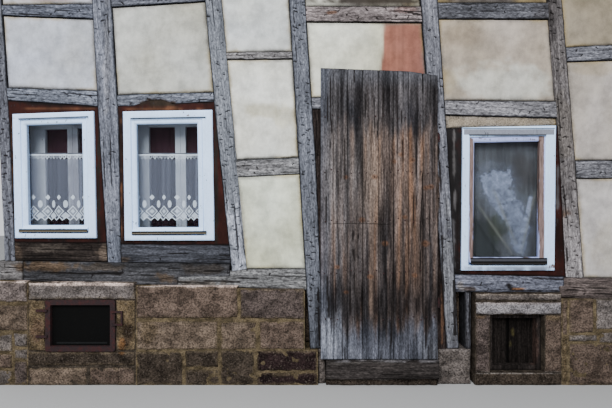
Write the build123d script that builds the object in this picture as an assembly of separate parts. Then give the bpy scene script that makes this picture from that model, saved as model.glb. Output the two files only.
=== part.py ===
from build123d import *
import os

# The street front of an abandoned half-timbered house, ground storey, six bays between seven
# leaning posts. Millimetres. X runs along the wall, Y into the house from the timbers' front
# face, Z up from the lowest ground. The frame has racked sideways with age: every post leans.

# Wall in general
timber_depth = 150.0
plinth_proud = 35.0
plinth_depth = 430.0
wall_end_left = 79.0
wall_end_right = 69.0
plate_bottom = 2880.0
plate_height = 150.0
plate_overhang = 14.0
worn_edge = 5.0
infill_recess = 6.0
infill_soft_edge = 12.0

# What each bay holds, from left to right, and the room that is left beside it between the
# middles of its two posts, at the foot and at the head. A plain bay is room alone.
bays = ("window", "window", "plain", "door", "window", "plain")
bay_foot_room = (172.0, 259.0, 571.0, 151.0, 217.0, 627.0)
bay_head_room = (184.0, 162.0, 616.0, 122.0, 242.0, 623.0)

# Posts from left to right: widths, and bow of the middle
door_post_beside_leaf = 26.0
door_post_lean = 151.0
post_foot_width = (81.0, 106.0, 113.0, 102.0, 92.0, 135.0, 138.0)
post_middle_width = (84.0, 151.0, 121.0, 127.0, 117.0, 111.0, 120.0)
post_head_width = (82.0, 142.0, 124.0, 121.0, 131.0, 108.0, 120.0)
post_bow = (10.0, 8.0, -6.0, 8.0, 7.0, 10.0, 6.0)
base_course_top = 255.0

# Joints of the timbers
tenon_thickness = 46.0
tenon_length = 40.0
tenon_shoulder = 16.0
mortise_end_gap = 3.0
foot_sink = 40.0

# Sill beams: levels at their ends
sill_end_length = 175.0
sill_butt_gap = 6.0
sill_left_top = (898.0, 876.0)
sill_middle_top = 843.0
sill_middle_wane = 20.0
sill_middle_wane_length = 140.0
scarf_length = 387.0
scarf_before_post = 64.0
scarf_table = (781.0, 788.0)
sill_right_before_post = 114.0
sill_right_top = (781.0, 757.0)
sill_right_bottom = (627.0, 600.0)
window_beam_top = (803.0, 783.0)
window_beam_bottom = 668.0
window_beam_lap_length = 33.0
window_beam_lap = 715.0
plinth_top = (758.0, 681.0)

# Rails: levels at the left post and at the right post, low and high
top_rail_1 = (2694.0, 2774.0, 2664.0, 2781.0)
top_rail_2 = (2748.0, 2845.0, 2800.0, 2865.0)
top_rail_4 = (2646.0, 2763.0, 2639.0, 2763.0)
top_rail_5 = (2668.0, 2789.0, 2665.0, 2789.0)
lintel_4 = (2008.0, 2095.0, 2008.0, 2095.0)
upper_rail_3 = (2369.0, 2424.0, 2376.0, 2431.0)
lower_rail_3 = (1507.0, 1635.0, 1533.0, 1661.0)
upper_rail_6 = (2351.0, 2460.0, 2375.0, 2490.0)
lower_rail_6 = (1500.0, 1632.0, 1504.0, 1635.0)
sill_plank_top_1 = (1037.0, 1029.0)
sill_plank_top_2 = (1022.0, 1015.0)
lintel_hollow = (137.0, 261.0, 341.0, 422.0)
lintel_hollow_rise = 40.0

# Lintels over the windows: the same levels, counted from the window's head
over_window_1 = (105.0, 200.0, 33.0, 150.0)
over_window_2 = (35.0, 125.0, 64.0, 138.0)
over_window_3 = (97.0, 203.0, 57.0, 181.0)

# Windows: distance from the post at their left, level, size, how much higher the head is on the
# right, and how far it has moved sideways. A net window has inner casements and curtains, a
# cloth window a hung cloth.
window_dressing = ("net", "net", "cloth")
window_beside_post = (45.0, 82.0, 57.0)
window_z = (1066.0, 1049.0, 830.0)
window_width = (590.0, 650.0, 677.0)
window_height = (902.0, 938.0, 1040.0)
window_head_rise = (21.0, 11.0, 15.0)
window_lean = (-19.0, -14.0, 10.0)
frame_left = (55.0, 55.0, 51.0)
frame_right = (55.0, 76.0, 73.0)
frame_top = (44.0, 55.0, 72.0)
frame_bottom = (37.0, 38.0, 38.0)
frame_proud = 14.0
frame_depth = 68.0
frame_lip = 14.0
frame_arris = 3.0
sash_setback = 7.0
sash_depth = 38.0
sash_face = 34.0
sash_gap = 2.5
sash_bottom_gap = 22.0
putty_bevel = 9.0
pane_thickness = 4.0
pane_setback = 16.0
pane_rebate = 8.0
drip_height = 12.0
drip_reach = 16.0
soft_clearance = 0.3
net_front = 62.0
net_thickness = 8.0
net_top = 1686.0
net_bottom = 1190.0
rod_radius = 4.0
cloth_front = 60.0
cloth_thickness = 12.0

# Inner casements: two leaves in a box of boards that stands out behind the wall
box_reach = 100.0
box_board = 26.0
casement_setback = 45.0
casement_depth = 36.0
casement_stile = 112.0
casement_meeting_stile = 39.0
casement_rail = 80.0
casement_gap = 2.0
casement_middle = 32.0
curtain_thickness = 14.0

# Doorway and plank door: the leaf's boards from left to right
door_left = -58.0
board_widths = (91.0, 102.0, 110.0, 113.0, 110.0, 106.0, 106.0, 105.0)
board_thickness = 30.0
board_joint = 3.0
board_lap = 12.0
door_bottom = 196.0
door_top = (2294.0, 2270.0, 2240.0)
door_top_bend = 632.0
door_front = -44.0
opening_inside_leaf_left = 38.0
opening_inside_leaf_right = 65.0
threshold_top = 186.0
threshold_bottom = 58.0
threshold_reach = 62.0
threshold_past_opening = 72.0
ledge_levels = (489.0, 825.0, 1197.0, 1548.0, 1942.0)
ledge_height = 84.0
ledge_thickness = 24.0
ledge_end_gap = 10.0
ledge_chamfer = 6.0
strap_levels = (600.0, 1800.0)
strap_height = 44.0
strap_thickness = 6.0
strap_length = 480.0
eye_radius = 11.0
eye_beside_leaf = 1.0
pin_radius = 6.0
pin_clearance = 0.08
pin_rise = 10.0
pin_foot = 14.0
spike_length = 95.0
eye_float = 0.5

# Plinth stones at the doorway
plinth_end_before_post = 88.0
base_course_past_post = 7.0
post_stone_proud = 12.0
post_stone_gap = 22.0
stud_width = 36.0

# Cellar hatch, left: its place is taken from the second post
hatch_before_post = 484.0
hatch_width = 504.0
hatch_bottom = 248.0
hatch_top = 620.0
hatch_jamb_left = 131.0
hatch_jamb_right = 146.0
hatch_corner = 16.0
hatch_rim = 36.0
hatch_thickness = 28.0
hatch_panel_thickness = 5.0
lug_length = 62.0
lug_height = 16.0
lug_thickness = 12.0
lug_levels = (358.0, 545.0)
bracket_reach = 58.0
bracket_height = 104.0
bracket_bar = 12.0
bracket_bottom = 438.0

# Cellar window opening, right: its place is taken from the right door post
cellar_past_post = 262.0
cellar_width = 394.0
cellar_bottom = 92.0
cellar_top = 511.0
cellar_jamb_left = 110.0
cellar_frame_setback = 60.0
cellar_frame_depth = 60.0
cellar_frame_face = 34.0
cellar_board_thickness = 22.0
cellar_board_slit = 14.0
cellar_slit_offset = 20.0


BACK = timber_depth
window_bays = [bay for bay, kind in enumerate(bays) if kind == "window"]
windows = range(len(window_bays))
net_windows = [w for w in windows if window_dressing[w] == "net"]
cloth_windows = [w for w in windows if window_dressing[w] == "cloth"]
left_door_post = bays.index("door")
right_door_post = left_door_post + 1
door_posts = (left_door_post, right_door_post)
door_right = door_left + sum(board_widths)


def bay_widths(rooms):
    """Distance between the posts of each bay: its window or door leaf, and the room beside it."""
    widths = []
    for bay, kind in enumerate(bays):
        held = 0.0
        if kind == "window":
            held = window_width[window_bays.index(bay)]
        if kind == "door":
            held = sum(board_widths)
        widths.append(held + rooms[bay])
    return widths


def post_places(door_post_x, rooms):
    """Middle of every post at one level, worked out from the left door post outwards."""
    widths = bay_widths(rooms)
    places = []
    for i in range(len(bays) + 1):
        to_the_left = sum(widths[i:left_door_post])
        to_the_right = sum(widths[left_door_post:i])
        places.append(door_post_x - to_the_left + to_the_right)
    return places


def lintel_levels(w, over):
    """Levels of the lintel over window w, from how far it lies over the window's head."""
    head_left = window_z[w] + window_height[w]
    head_right = head_left + window_head_rise[w]
    return head_left + over[0], head_left + over[1], head_right + over[2], head_right + over[3]


lintel_1 = lintel_levels(0, over_window_1)
lintel_2 = lintel_levels(1, over_window_2)
lintel_5 = lintel_levels(2, over_window_3)

# Places along the wall, all taken from the posts
door_post_foot = door_left - door_post_beside_leaf
post_foot_x = post_places(door_post_foot, bay_foot_room)
post_head_x = post_places(door_post_foot - door_post_lean, bay_head_room)
posts_on_sill_right = range(right_door_post + 1, len(post_foot_x))
wall_left = post_foot_x[0] - wall_end_left
wall_right = post_foot_x[-1] + wall_end_right
sill_left_start = wall_left + sill_end_length
scarf_end = post_foot_x[left_door_post - 1] - scarf_before_post
scarf_start = scarf_end - scarf_length
sill_right_start = post_foot_x[right_door_post + 1] - sill_right_before_post
window_beam_end = sill_right_start + window_beam_lap_length
window_x = [post_foot_x[bay] + beside for bay, beside in zip(window_bays, window_beside_post)]
opening_left = door_left + opening_inside_leaf_left
opening_right = door_right - opening_inside_leaf_right
threshold_right = opening_right + threshold_past_opening
plinth_end_at_door = door_post_foot - plinth_end_before_post
base_course_end = door_post_foot + base_course_past_post
hatch_left = post_foot_x[1] - hatch_before_post
hatch_right = hatch_left + hatch_width
hatch_surround_left = hatch_left - hatch_jamb_left
hatch_surround_right = hatch_right + hatch_jamb_right
cellar_left = post_foot_x[right_door_post] + cellar_past_post
cellar_right = cellar_left + cellar_width
cellar_surround_left = cellar_left - cellar_jamb_left
cellar_surround_right = sill_right_start
post_stone_right = cellar_surround_left - post_stone_gap
masonry_front = -plinth_proud
masonry_back = masonry_front + plinth_depth


def prism(corners, front, back):
    """A solid whose outline in X and Z is given, running in Y from front to back."""
    outline = Polyline([(x, front, z) for x, z in corners], close=True)
    return extrude(make_face(outline), amount=back - front, dir=(0, 1, 0))


def block(left, right, front, back, low, high):
    """A plain block between two limits on each axis."""
    return prism([(left, low), (right, low), (right, high), (left, high)], front, back)


def between(start, end, share):
    """The value at a share of the way from start to end."""
    return start + (end - start) * share


def solids_of(shape):
    """All solids of a shape as a list."""
    return list(shape.solids())


def cut(shape, cutters):
    """The shape with each cutter taken out of it."""
    for cutter in cutters:
        shape = shape - cutter
    return shape


def long_front_edges(shape, front):
    """Edges that lie in the front plane and run up the piece, for a worn arris."""
    edges = shape.edges().filter_by_position(Axis.Y, front - 0.01, front + 0.01)
    return [edge for edge in edges if edge.length > 2 * timber_depth]


def write(name, shape):
    """Write one piece of the wall, or several like pieces that don't touch."""
    solids = solids_of(shape) if not isinstance(shape, list) else [s for p in shape for s in solids_of(p)]
    piece = solids[0] if len(solids) == 1 else Compound(children=solids)
    piece.label = name
    export_step(piece, os.path.join("parts", name + ".step"))


# Posts

def post_foot_level(i):
    """Height of the seat under post i."""
    if i in door_posts:
        return base_course_top
    if i in posts_on_sill_right:
        return sill_right_level(post_foot_x[i])
    if post_foot_x[i] > scarf_end:
        return sill_middle_top
    return sill_left_level(post_foot_x[i])


def sill_right_level(x):
    """Top of the right sill beam at x."""
    return between(*sill_right_top, (x - sill_right_start) / (wall_right - sill_right_start))


def post_stations(i):
    """Height, left side and right side of post i at its foot, middle and head."""
    foot = post_foot_level(i)
    middle_x = (post_foot_x[i] + post_head_x[i]) / 2 + post_bow[i]
    rows = (
        (foot, post_foot_x[i], post_foot_width[i]),
        ((foot + plate_bottom) / 2, middle_x, post_middle_width[i]),
        (plate_bottom, post_head_x[i], post_head_width[i]),
    )
    return [(z, x - width / 2, x + width / 2) for z, x, width in rows]


def post_sides(i, z):
    """Left and right side of post i at height z, carried on past its ends."""
    low, middle, high = post_stations(i)
    a, b = (low, middle) if z < middle[0] else (middle, high)
    share = (z - a[0]) / (b[0] - a[0])
    return between(a[1], b[1], share), between(a[2], b[2], share)


def post_middle(i, z):
    """Centre line of post i at height z."""
    left, right = post_sides(i, z)
    return (left + right) / 2


def post_outline(i, low):
    """Outline of post i from a low level up to the wall plate."""
    heights = (low, post_stations(i)[1][0], plate_bottom)
    sides = [(z, *post_sides(i, z)) for z in heights]
    return [(left, z) for z, left, _ in sides] + [(right, z) for z, _, right in reversed(sides)]


def raw_post(i):
    """Post i with square arrises, which the pieces beside it are fitted to."""
    sink = 0.0 if i in door_posts else foot_sink
    return prism(post_outline(i, post_foot_level(i) - sink), 0.0, BACK)


def tenon_front():
    """Front face of every tenon."""
    return (timber_depth - tenon_thickness) / 2


def head_tenon(i, gap):
    """Stub tenon of post i up into the wall plate."""
    half = post_head_width[i] / 2 - tenon_shoulder
    x = post_head_x[i]
    top = plate_bottom + tenon_length + gap
    front = tenon_front()
    return block(x - half, x + half, front, front + tenon_thickness, plate_bottom - tenon_shoulder, top)


def foot_tenon(i, gap):
    """Stub tenon of post i down into its sill beam."""
    half = post_foot_width[i] / 2 - tenon_shoulder
    x = post_foot_x[i]
    low = post_foot_level(i) - tenon_length - gap
    front = tenon_front()
    return block(x - half, x + half, front, front + tenon_thickness, low, post_foot_level(i) + tenon_shoulder)


# Rails between two posts

def rail_level(levels, bay, x, high):
    """Lower or upper edge of a rail at x, from its levels at the two posts."""
    start = post_middle(bay, levels[0])
    end = post_middle(bay + 1, levels[2])
    share = (x - start) / (end - start)
    return between(levels[1], levels[3], share) if high else between(levels[0], levels[2], share)


def raw_rail(bay, levels, hollow=()):
    """A rail from post centre to post centre, with a waney hollow underneath where it has one."""
    low_left, high_left, low_right, high_right = levels
    left = post_middle(bay, low_left)
    right = post_middle(bay + 1, low_right)
    under = [(x, rail_level(levels, bay, x, False) + rise) for x, rise in hollow]
    corners = [(left, low_left), *under, (right, low_right), (right, high_right), (left, high_left)]
    return prism(corners, 0.0, BACK)


def inside_rail(levels, rise=0.0):
    """A level that lies inside the whole length of a rail."""
    return (max(levels[0], levels[2]) + rise / 2 + min(levels[1], levels[3])) / 2


def rail_tenon(bay, levels, end, gap):
    """Tenon at the left (end 0) or right (end 1) of a rail, reaching into its post."""
    middle = (levels[0] + levels[1]) / 2 if end == 0 else (levels[2] + levels[3]) / 2
    if end == 0:
        face = post_sides(bay, middle)[1]
        left, right = face - tenon_length - gap, face + tenon_length
    else:
        face = post_sides(bay + 1, middle)[0]
        left, right = face - tenon_length, face + tenon_length + gap
    corners = [
        (left, rail_level(levels, bay, left, False) + tenon_shoulder),
        (right, rail_level(levels, bay, right, False) + tenon_shoulder),
        (right, rail_level(levels, bay, right, True) - tenon_shoulder),
        (left, rail_level(levels, bay, left, True) - tenon_shoulder),
    ]
    front = tenon_front()
    return prism(corners, front, front + tenon_thickness)


def finished_rail(bay, levels, raw, neighbours):
    """A rail with its shoulders cut to the posts beside it and its tenons left on."""
    body = cut(raw, neighbours)
    body = chamfer(long_front_edges(body, 0.0), worn_edge)
    return body + rail_tenon(bay, levels, 0, 0.0) + rail_tenon(bay, levels, 1, 0.0)


# Sill beams

def plinth_level(x):
    """Top of the left plinth, which falls towards the doorway."""
    return between(*plinth_top, (x - wall_left) / (door_post_foot - wall_left))


def sill_left_level(x):
    """Top of the left sill beam at x."""
    return between(*sill_left_top, (x - sill_left_start) / (scarf_end - sill_left_start))


def raw_sill_end():
    """Short block under the first post, butted to the long sill beam."""
    right = sill_left_start - sill_butt_gap
    corners = [
        (wall_left, plinth_level(wall_left)),
        (right, plinth_level(right)),
        (right, sill_left_level(right)),
        (wall_left, sill_left_level(wall_left)),
    ]
    return prism(corners, 0.0, BACK)


def raw_sill_left():
    """Long sill beam, its right end halved to lie on the middle one."""
    corners = [
        (sill_left_start, plinth_level(sill_left_start)),
        (scarf_start, plinth_level(scarf_start)),
        (scarf_start, scarf_table[0]),
        (scarf_end, scarf_table[1]),
        (scarf_end, sill_left_level(scarf_end)),
        (sill_left_start, sill_left_level(sill_left_start)),
    ]
    return prism(corners, 0.0, BACK)


def raw_sill_middle():
    """Middle sill beam: a tongue under the scarf, then full height to the door post."""
    end = post_middle(left_door_post, sill_middle_top)
    shoulder = sill_middle_top - sill_middle_wane
    corners = [
        (scarf_start, plinth_level(scarf_start)),
        (end, plinth_level(end)),
        (end, sill_middle_top),
        (scarf_end + sill_middle_wane_length, sill_middle_top),
        (scarf_end, shoulder),
        (scarf_end, scarf_table[1]),
        (scarf_start, scarf_table[0]),
    ]
    return prism(corners, 0.0, BACK)


def raw_sill_right():
    """Right sill beam under the last two posts."""
    corners = [
        (sill_right_start, sill_right_bottom[0]),
        (wall_right, sill_right_bottom[1]),
        (wall_right, sill_right_top[1]),
        (sill_right_start, sill_right_top[0]),
    ]
    return prism(corners, 0.0, BACK)


def raw_window_beam():
    """Beam under the third window, from the door post to a lap over the right sill beam."""
    start = post_middle(right_door_post, window_beam_bottom)
    corners = [
        (start, window_beam_bottom),
        (sill_right_start, window_beam_bottom),
        (sill_right_start, window_beam_lap),
        (window_beam_end, window_beam_lap),
        (window_beam_end, window_beam_top[1]),
        (start, window_beam_top[0]),
    ]
    return prism(corners, 0.0, BACK)


def window_beam_recess():
    """What the lap of the window beam takes out of the right sill beam."""
    return block(
        sill_right_start, window_beam_end, 0.0, BACK, window_beam_lap, window_beam_top[0] + foot_sink
    )


# Windows

def racked(w, u, v):
    """Point of window w at u from its left and v from its bottom, after the frame has racked."""
    up = v / window_height[w]
    x = window_x[w] + u + window_lean[w] * up
    return x, window_z[w] + v + window_head_rise[w] * up * u / window_width[w]


def racked_quad(w, left, right, bottom, top):
    """Corners of window w set in from each side by the given amounts."""
    width = window_width[w]
    height = window_height[w]
    return [
        racked(w, left, bottom),
        racked(w, width - right, bottom),
        racked(w, width - right, height - top),
        racked(w, left, height - top),
    ]


def window_outline(w):
    """Corners of the outside of window w."""
    return racked_quad(w, 0.0, 0.0, 0.0, 0.0)


def window_block(w):
    """The whole space of window w through the wall and its inner box."""
    return prism(window_outline(w), -frame_proud - 1, BACK + box_reach + 1)


def frame_inset(w, extra):
    """Insets of the frame's daylight, further in by an extra amount."""
    return (
        frame_left[w] + extra,
        frame_right[w] + extra,
        frame_bottom[w] + extra,
        frame_top[w] + extra,
    )


def window_frame(w):
    """Outer frame: a rebated ring with a lip behind the sash."""
    front = -frame_proud
    back = front + frame_depth
    seat = front + sash_setback + sash_depth
    ring = prism(window_outline(w), front, back)
    ring = ring - prism(racked_quad(w, *frame_inset(w, 0.0)), front - 1, seat)
    ring = ring - prism(racked_quad(w, *frame_inset(w, frame_lip)), seat - 1, back + 1)
    edges = ring.edges().filter_by_position(Axis.Y, front - 0.01, front + 0.01)
    return chamfer(edges, frame_arris)


def sash_inset(w, extra):
    """Insets of the sash, further in by an extra amount."""
    left, right, bottom, top = frame_inset(w, sash_gap + extra)
    return left, right, bottom + sash_bottom_gap - sash_gap, top


def pane(w):
    """Glass of window w, held in the sash all round."""
    front = -frame_proud + sash_setback + pane_setback
    inset = sash_inset(w, sash_face - pane_rebate)
    return prism(racked_quad(w, *inset), front, front + pane_thickness)


def sash(w):
    """Sash of window w with a putty bevel, a groove for the pane and a drip rail."""
    front = -frame_proud + sash_setback
    back = front + sash_depth
    ring = prism(racked_quad(w, *sash_inset(w, 0.0)), front, back)
    ring = ring - prism(racked_quad(w, *sash_inset(w, sash_face)), front - 1, back + 1)
    inner = [e for e in ring.edges().filter_by_position(Axis.Y, front - 0.01, front + 0.01)]
    inner = [e for e in inner if inside_sash(w, e)]
    ring = chamfer(inner, putty_bevel)
    ring = ring - pane(w)
    return ring + drip_rail(w)


def inside_sash(w, edge):
    """Whether an edge belongs to the sash's inner outline."""
    left, right, bottom, top = sash_inset(w, sash_face / 2)
    a, b, c, d = racked_quad(w, left, right, bottom, top)
    middle = edge.center()
    return min(a[0], d[0]) < middle.X < max(b[0], c[0]) and min(a[1], b[1]) < middle.Z < max(c[1], d[1])


def drip_rail(w):
    """Weather bar on the foot of the sash: a sloping board that throws water off."""
    left, right, bottom, _ = sash_inset(w, 0.0)
    x0, z0 = racked(w, left, bottom)
    x1, _ = racked(w, window_width[w] - right, bottom)
    front = -frame_proud + sash_setback
    profile = Polyline(
        [
            (x0, front, z0),
            (x0, front - drip_reach, z0),
            (x0, front - drip_reach, z0 + drip_height / 2),
            (x0, front, z0 + 2 * drip_height),
        ],
        close=True,
    )
    return extrude(make_face(profile), amount=x1 - x0, dir=(1, 0, 0))


def casement_leaves(w):
    """Insets of the two inner leaves of window w, each with the widths of its left and right stile."""
    middle = window_width[w] / 2 + casement_middle
    past_middle = casement_gap / 2
    left_leaf = (0.0, window_width[w] - middle + past_middle, 0.0, 0.0)
    right_leaf = (middle + past_middle, 0.0, 0.0, 0.0)
    return (
        (left_leaf, casement_stile, casement_meeting_stile),
        (right_leaf, casement_meeting_stile, casement_stile),
    )


def leaf_daylight(w, leaf, left_stile, right_stile, rebate):
    """Corners of the daylight of a leaf, made larger by the rebate that holds its glass."""
    left, right, bottom, top = leaf
    return racked_quad(
        w,
        left + left_stile - rebate,
        right + right_stile - rebate,
        bottom + casement_rail - rebate,
        top + casement_rail - rebate,
    )


def casement_front():
    """Front face of the inner casements, set back from the sash."""
    return BACK + casement_setback - worn_edge


def casement_panes(w):
    """Glass of both inner leaves of window w, in the middle of their thickness."""
    front = casement_front() + (casement_depth - pane_thickness) / 2
    return [
        prism(leaf_daylight(w, *leaf, pane_rebate), front, front + pane_thickness)
        for leaf in casement_leaves(w)
    ]


def inner_casement(w):
    """Two inner leaves side by side, each a ring with a groove for its glass."""
    front = casement_front()
    back = front + casement_depth
    leaves = []
    for leaf, glass in zip(casement_leaves(w), casement_panes(w)):
        ring = prism(racked_quad(w, *leaf[0]), front, back)
        ring = ring - prism(leaf_daylight(w, *leaf, 0.0), front - 1, back + 1)
        leaves.append(ring - glass)
    return leaves


def inner_box(w):
    """Boards round window w that carry its inner casements, standing out behind the wall."""
    outer = racked_quad(w, -box_board, -box_board, -box_board, -box_board)
    return prism(outer, BACK, BACK + box_reach) - window_block(w)


def net_curtain(w):
    """Space of a half-height net curtain, between the two casements."""
    left, right, _, _ = frame_inset(w, frame_lip)
    low_left, low_right = opening_sides(w, left, right, net_bottom)
    high_left, high_right = opening_sides(w, left, right, net_top)
    quad = [
        (low_left, net_bottom),
        (low_right, net_bottom),
        (high_right, net_top),
        (high_left, net_top),
    ]
    return prism(quad, net_front, net_front + net_thickness)


def opening_sides(w, left, right, z):
    """Left and right limits, set in from the sides of window w, at height z."""
    v = z - window_z[w]
    return racked(w, left, v)[0], racked(w, window_width[w] - right, v)[0]


def net_rod(w):
    """Rod that the net hangs from, between the lining boards."""
    z = net_top + rod_radius + soft_clearance
    x0, x1 = opening_sides(w, soft_clearance, soft_clearance, z)
    y = net_front + net_thickness / 2
    return Plane(origin=(x0, y, z), z_dir=(1, 0, 0)) * Cylinder(
        rod_radius, x1 - x0, align=(Align.CENTER, Align.CENTER, Align.MIN)
    )


def red_curtain(w):
    """Space of the heavy curtain close behind the inner casement."""
    front = casement_front() + casement_depth + soft_clearance
    quad = racked_quad(w, soft_clearance, soft_clearance, soft_clearance, soft_clearance)
    return prism(quad, front, front + curtain_thickness)


def hung_cloth(w):
    """Space of the ragged cloth behind the third window."""
    quad = racked_quad(w, soft_clearance, soft_clearance, soft_clearance, soft_clearance)
    return prism(quad, cloth_front, cloth_front + cloth_thickness)


def on_post(i, z):
    """A point inside post i at height z, where pieces that meet the post are drawn to."""
    return post_middle(i, z), z


def window_head_level(w, x):
    """Height of the head of window w, carried on sideways to x."""
    _, _, right, left = window_outline(w)
    return between(left[1], right[1], (x - left[0]) / (right[0] - left[0]))


def head_on_post(w, i):
    """A point inside post i at the level of the head of window w."""
    _, z = on_post(i, window_z[w] + window_height[w])
    x = post_middle(i, z)
    return x, window_head_level(w, x)


def lining(w, head, foot, cutters):
    """Boards that fill the bay round window w: left, right, under and, with a head, over it."""
    bay = window_bays[w]
    bl, br, tr, tl = window_outline(w)
    low_left = on_post(bay, bl[1])
    low_right = on_post(bay + 1, br[1])
    high_left = head_on_post(w, bay)
    high_right = head_on_post(w, bay + 1)
    outlines = [
        [low_left, bl, tl, high_left],
        [br, low_right, high_right, tr],
        [on_post(bay, foot), on_post(bay + 1, foot), low_right, low_left],
    ]
    if head:
        outlines.append([high_left, high_right, on_post(bay + 1, head), on_post(bay, head)])
    boards = [cut(prism(outline, worn_edge, BACK), cutters + [window_block(w)]) for outline in outlines]
    if w in net_windows:
        boards.append(inner_box(w))
    ring = boards[0]
    for board in boards[1:]:
        ring = ring + board
    return ring


# Infill panels

def infill(bay, low, cutters):
    """Plastered panels of a bay from a low level to the plate, between everything that bounds them."""
    lower = [on_post(bay, low), on_post(bay + 1, low)]
    return panels_over(lower, bay, cutters)


def infill_over_window(w, cutters):
    """Plastered panels over a window that has no lining board at its head."""
    bay = window_bays[w]
    return panels_over([head_on_post(w, bay), head_on_post(w, bay + 1)], bay, cutters)


def panels_over(lower, bay, cutters):
    """Panels between a lower edge and the plate, cut to the timbers."""
    corners = lower + [on_post(bay + 1, plate_bottom), on_post(bay, plate_bottom)]
    panels = cut(prism(corners, infill_recess, BACK - infill_recess), cutters)
    return [soft_edged(panel) for panel in solids_of(panels)]


def soft_edged(panel):
    """A panel whose plaster rounds back to the timbers along its front edges."""
    edges = panel.edges().filter_by_position(Axis.Y, infill_recess - 0.01, infill_recess + 0.01)
    shortest = min(edge.length for edge in edges)
    return panel.chamfer(min(infill_soft_edge, shortest / 4), None, edges)


# Door

def door_head_level(x):
    """Top of the door at x: it falls towards the hinges, more steeply past the bend."""
    bend = door_left + door_top_bend
    if x < bend:
        return between(door_top[0], door_top[1], (x - door_left) / door_top_bend)
    return between(door_top[1], door_top[2], (x - bend) / (door_right - bend))


def upright_board(left, right, front, back):
    """A board of the door from its foot to the sloping head."""
    corners = [
        (left, door_bottom),
        (right, door_bottom),
        (right, door_head_level(right)),
        (left, door_head_level(left)),
    ]
    return prism(corners, front, back)


def door_boards():
    """Boards side by side, rebated so that each one laps behind the next."""
    middle = (door_front + door_back()) / 2
    boards = []
    left = door_left
    for n, width in enumerate(board_widths):
        first = n == 0
        last = n == len(board_widths) - 1
        right = left + width
        front_right = right if last else right - board_joint
        back_left = left if first else left + board_lap
        back_right = right if last else right + board_lap - board_joint
        face = upright_board(left, front_right, door_front, middle)
        boards.append(face + upright_board(back_left, back_right, middle, door_back()))
        left = right
    return boards


def door_back():
    """Back face of the boards."""
    return door_front + board_thickness


def door_ledges():
    """Ledges that hold the boards together, on the hidden side."""
    ledges = []
    for level in ledge_levels:
        ledge = block(
            opening_left + ledge_end_gap,
            opening_right - ledge_end_gap,
            door_back(),
            door_back() + ledge_thickness,
            level - ledge_height / 2,
            level + ledge_height / 2,
        )
        edges = ledge.edges().filter_by_position(Axis.Y, door_back() + ledge_thickness - 0.01, BACK)
        ledges.append(chamfer(edges, ledge_chamfer))
    return ledges


def hinge_x():
    """The door's hinge axis, just past its right edge."""
    return door_right + eye_radius + eye_beside_leaf


def hinge_y():
    """The hinge axis lies so that the eye is flush with the back of its strap."""
    return door_back() + strap_thickness - eye_radius


def upright_cylinder(radius, low, high):
    """A cylinder on the hinge axis."""
    return Pos(hinge_x(), hinge_y(), low) * Cylinder(
        radius, high - low, align=(Align.CENTER, Align.CENTER, Align.MIN)
    )


def door_straps():
    """Two strap hinges on the back of the boards, each ending in an eye."""
    straps = []
    for level in strap_levels:
        low = level - strap_height / 2
        high = level + strap_height / 2
        left = door_right - strap_length
        tail = strap_height / 2
        taper = strap_height / 4
        corners = [
            (left, level),
            (left + tail, low + taper),
            (hinge_x(), low),
            (hinge_x(), high),
            (left + tail, high - taper),
        ]
        bar = prism(corners, door_back(), door_back() + strap_thickness)
        eye = upright_cylinder(eye_radius, low, high)
        straps.append(bar + eye - upright_cylinder(pin_radius + pin_clearance, low - 1, high + 1))
    return straps


def pintle(level):
    """Upright pin on a spike driven into the post."""
    low = level - strap_height / 2 - eye_float
    pin = upright_cylinder(pin_radius, low - pin_foot / 2, level + strap_height / 2 + pin_rise)
    return pin + pintle_spike(level)


def pintle_spike(level):
    """Square spike of a pintle."""
    low = level - strap_height / 2 - eye_float - pin_foot
    return block(
        hinge_x() - pin_foot / 2,
        hinge_x() + pin_foot / 2,
        hinge_y() - pin_foot / 2,
        spike_length,
        low,
        low + pin_foot,
    )


def door_jambs(cutters):
    """Wedge-shaped boards that make the leaning doorway upright."""
    high = lintel_4[0]
    left = [
        on_post(left_door_post, base_course_top),
        (opening_left, base_course_top),
        (opening_left, high),
        on_post(left_door_post, high),
    ]
    right = [
        (opening_right, threshold_top),
        on_post(right_door_post, threshold_top),
        on_post(right_door_post, high),
        (opening_right, high),
    ]
    return [cut(prism(corners, 0.0, BACK), cutters) for corners in (left, right)]


# Plinth

def masonry(left, right, low, high_left, high_right):
    """Masonry through the whole plinth, with a top that may slope."""
    corners = [(left, low), (right, low), (right, high_right), (left, high_left)]
    return prism(corners, masonry_front, masonry_back)


def stone(left, right, low, high):
    """A squared stone through the whole plinth."""
    return block(left, right, masonry_front, masonry_back, low, high)


def post_stones():
    """The stones that the two door posts stand on, under and beside the doorway."""
    return [
        block(base_course_end, opening_left, 0.0, masonry_back, 0.0, base_course_top),
        block(threshold_right, post_stone_right, -post_stone_proud, masonry_back, 0.0, base_course_top),
    ]


def door_reveals():
    """Masonry behind the door posts, which closes the plinth to the doorway."""
    left_side = post_sides(left_door_post, base_course_top)[1]
    right_side = post_sides(right_door_post, base_course_top)[0]
    level = plinth_level(plinth_end_at_door)
    return [
        block(plinth_end_at_door, left_side, BACK, masonry_back, base_course_top, level),
        block(right_side, cellar_surround_left, BACK, masonry_back, base_course_top, window_beam_bottom),
    ]


def cellar_jambs():
    """Upright stones beside the hatch and beside the cellar window."""
    return [
        stone(hatch_surround_left, hatch_left, hatch_bottom, hatch_top),
        stone(hatch_right, hatch_surround_right, hatch_bottom, hatch_top),
        stone(cellar_surround_left, cellar_left, cellar_bottom, cellar_top),
        stone(cellar_right, cellar_surround_right, cellar_bottom, cellar_top),
    ]


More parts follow.
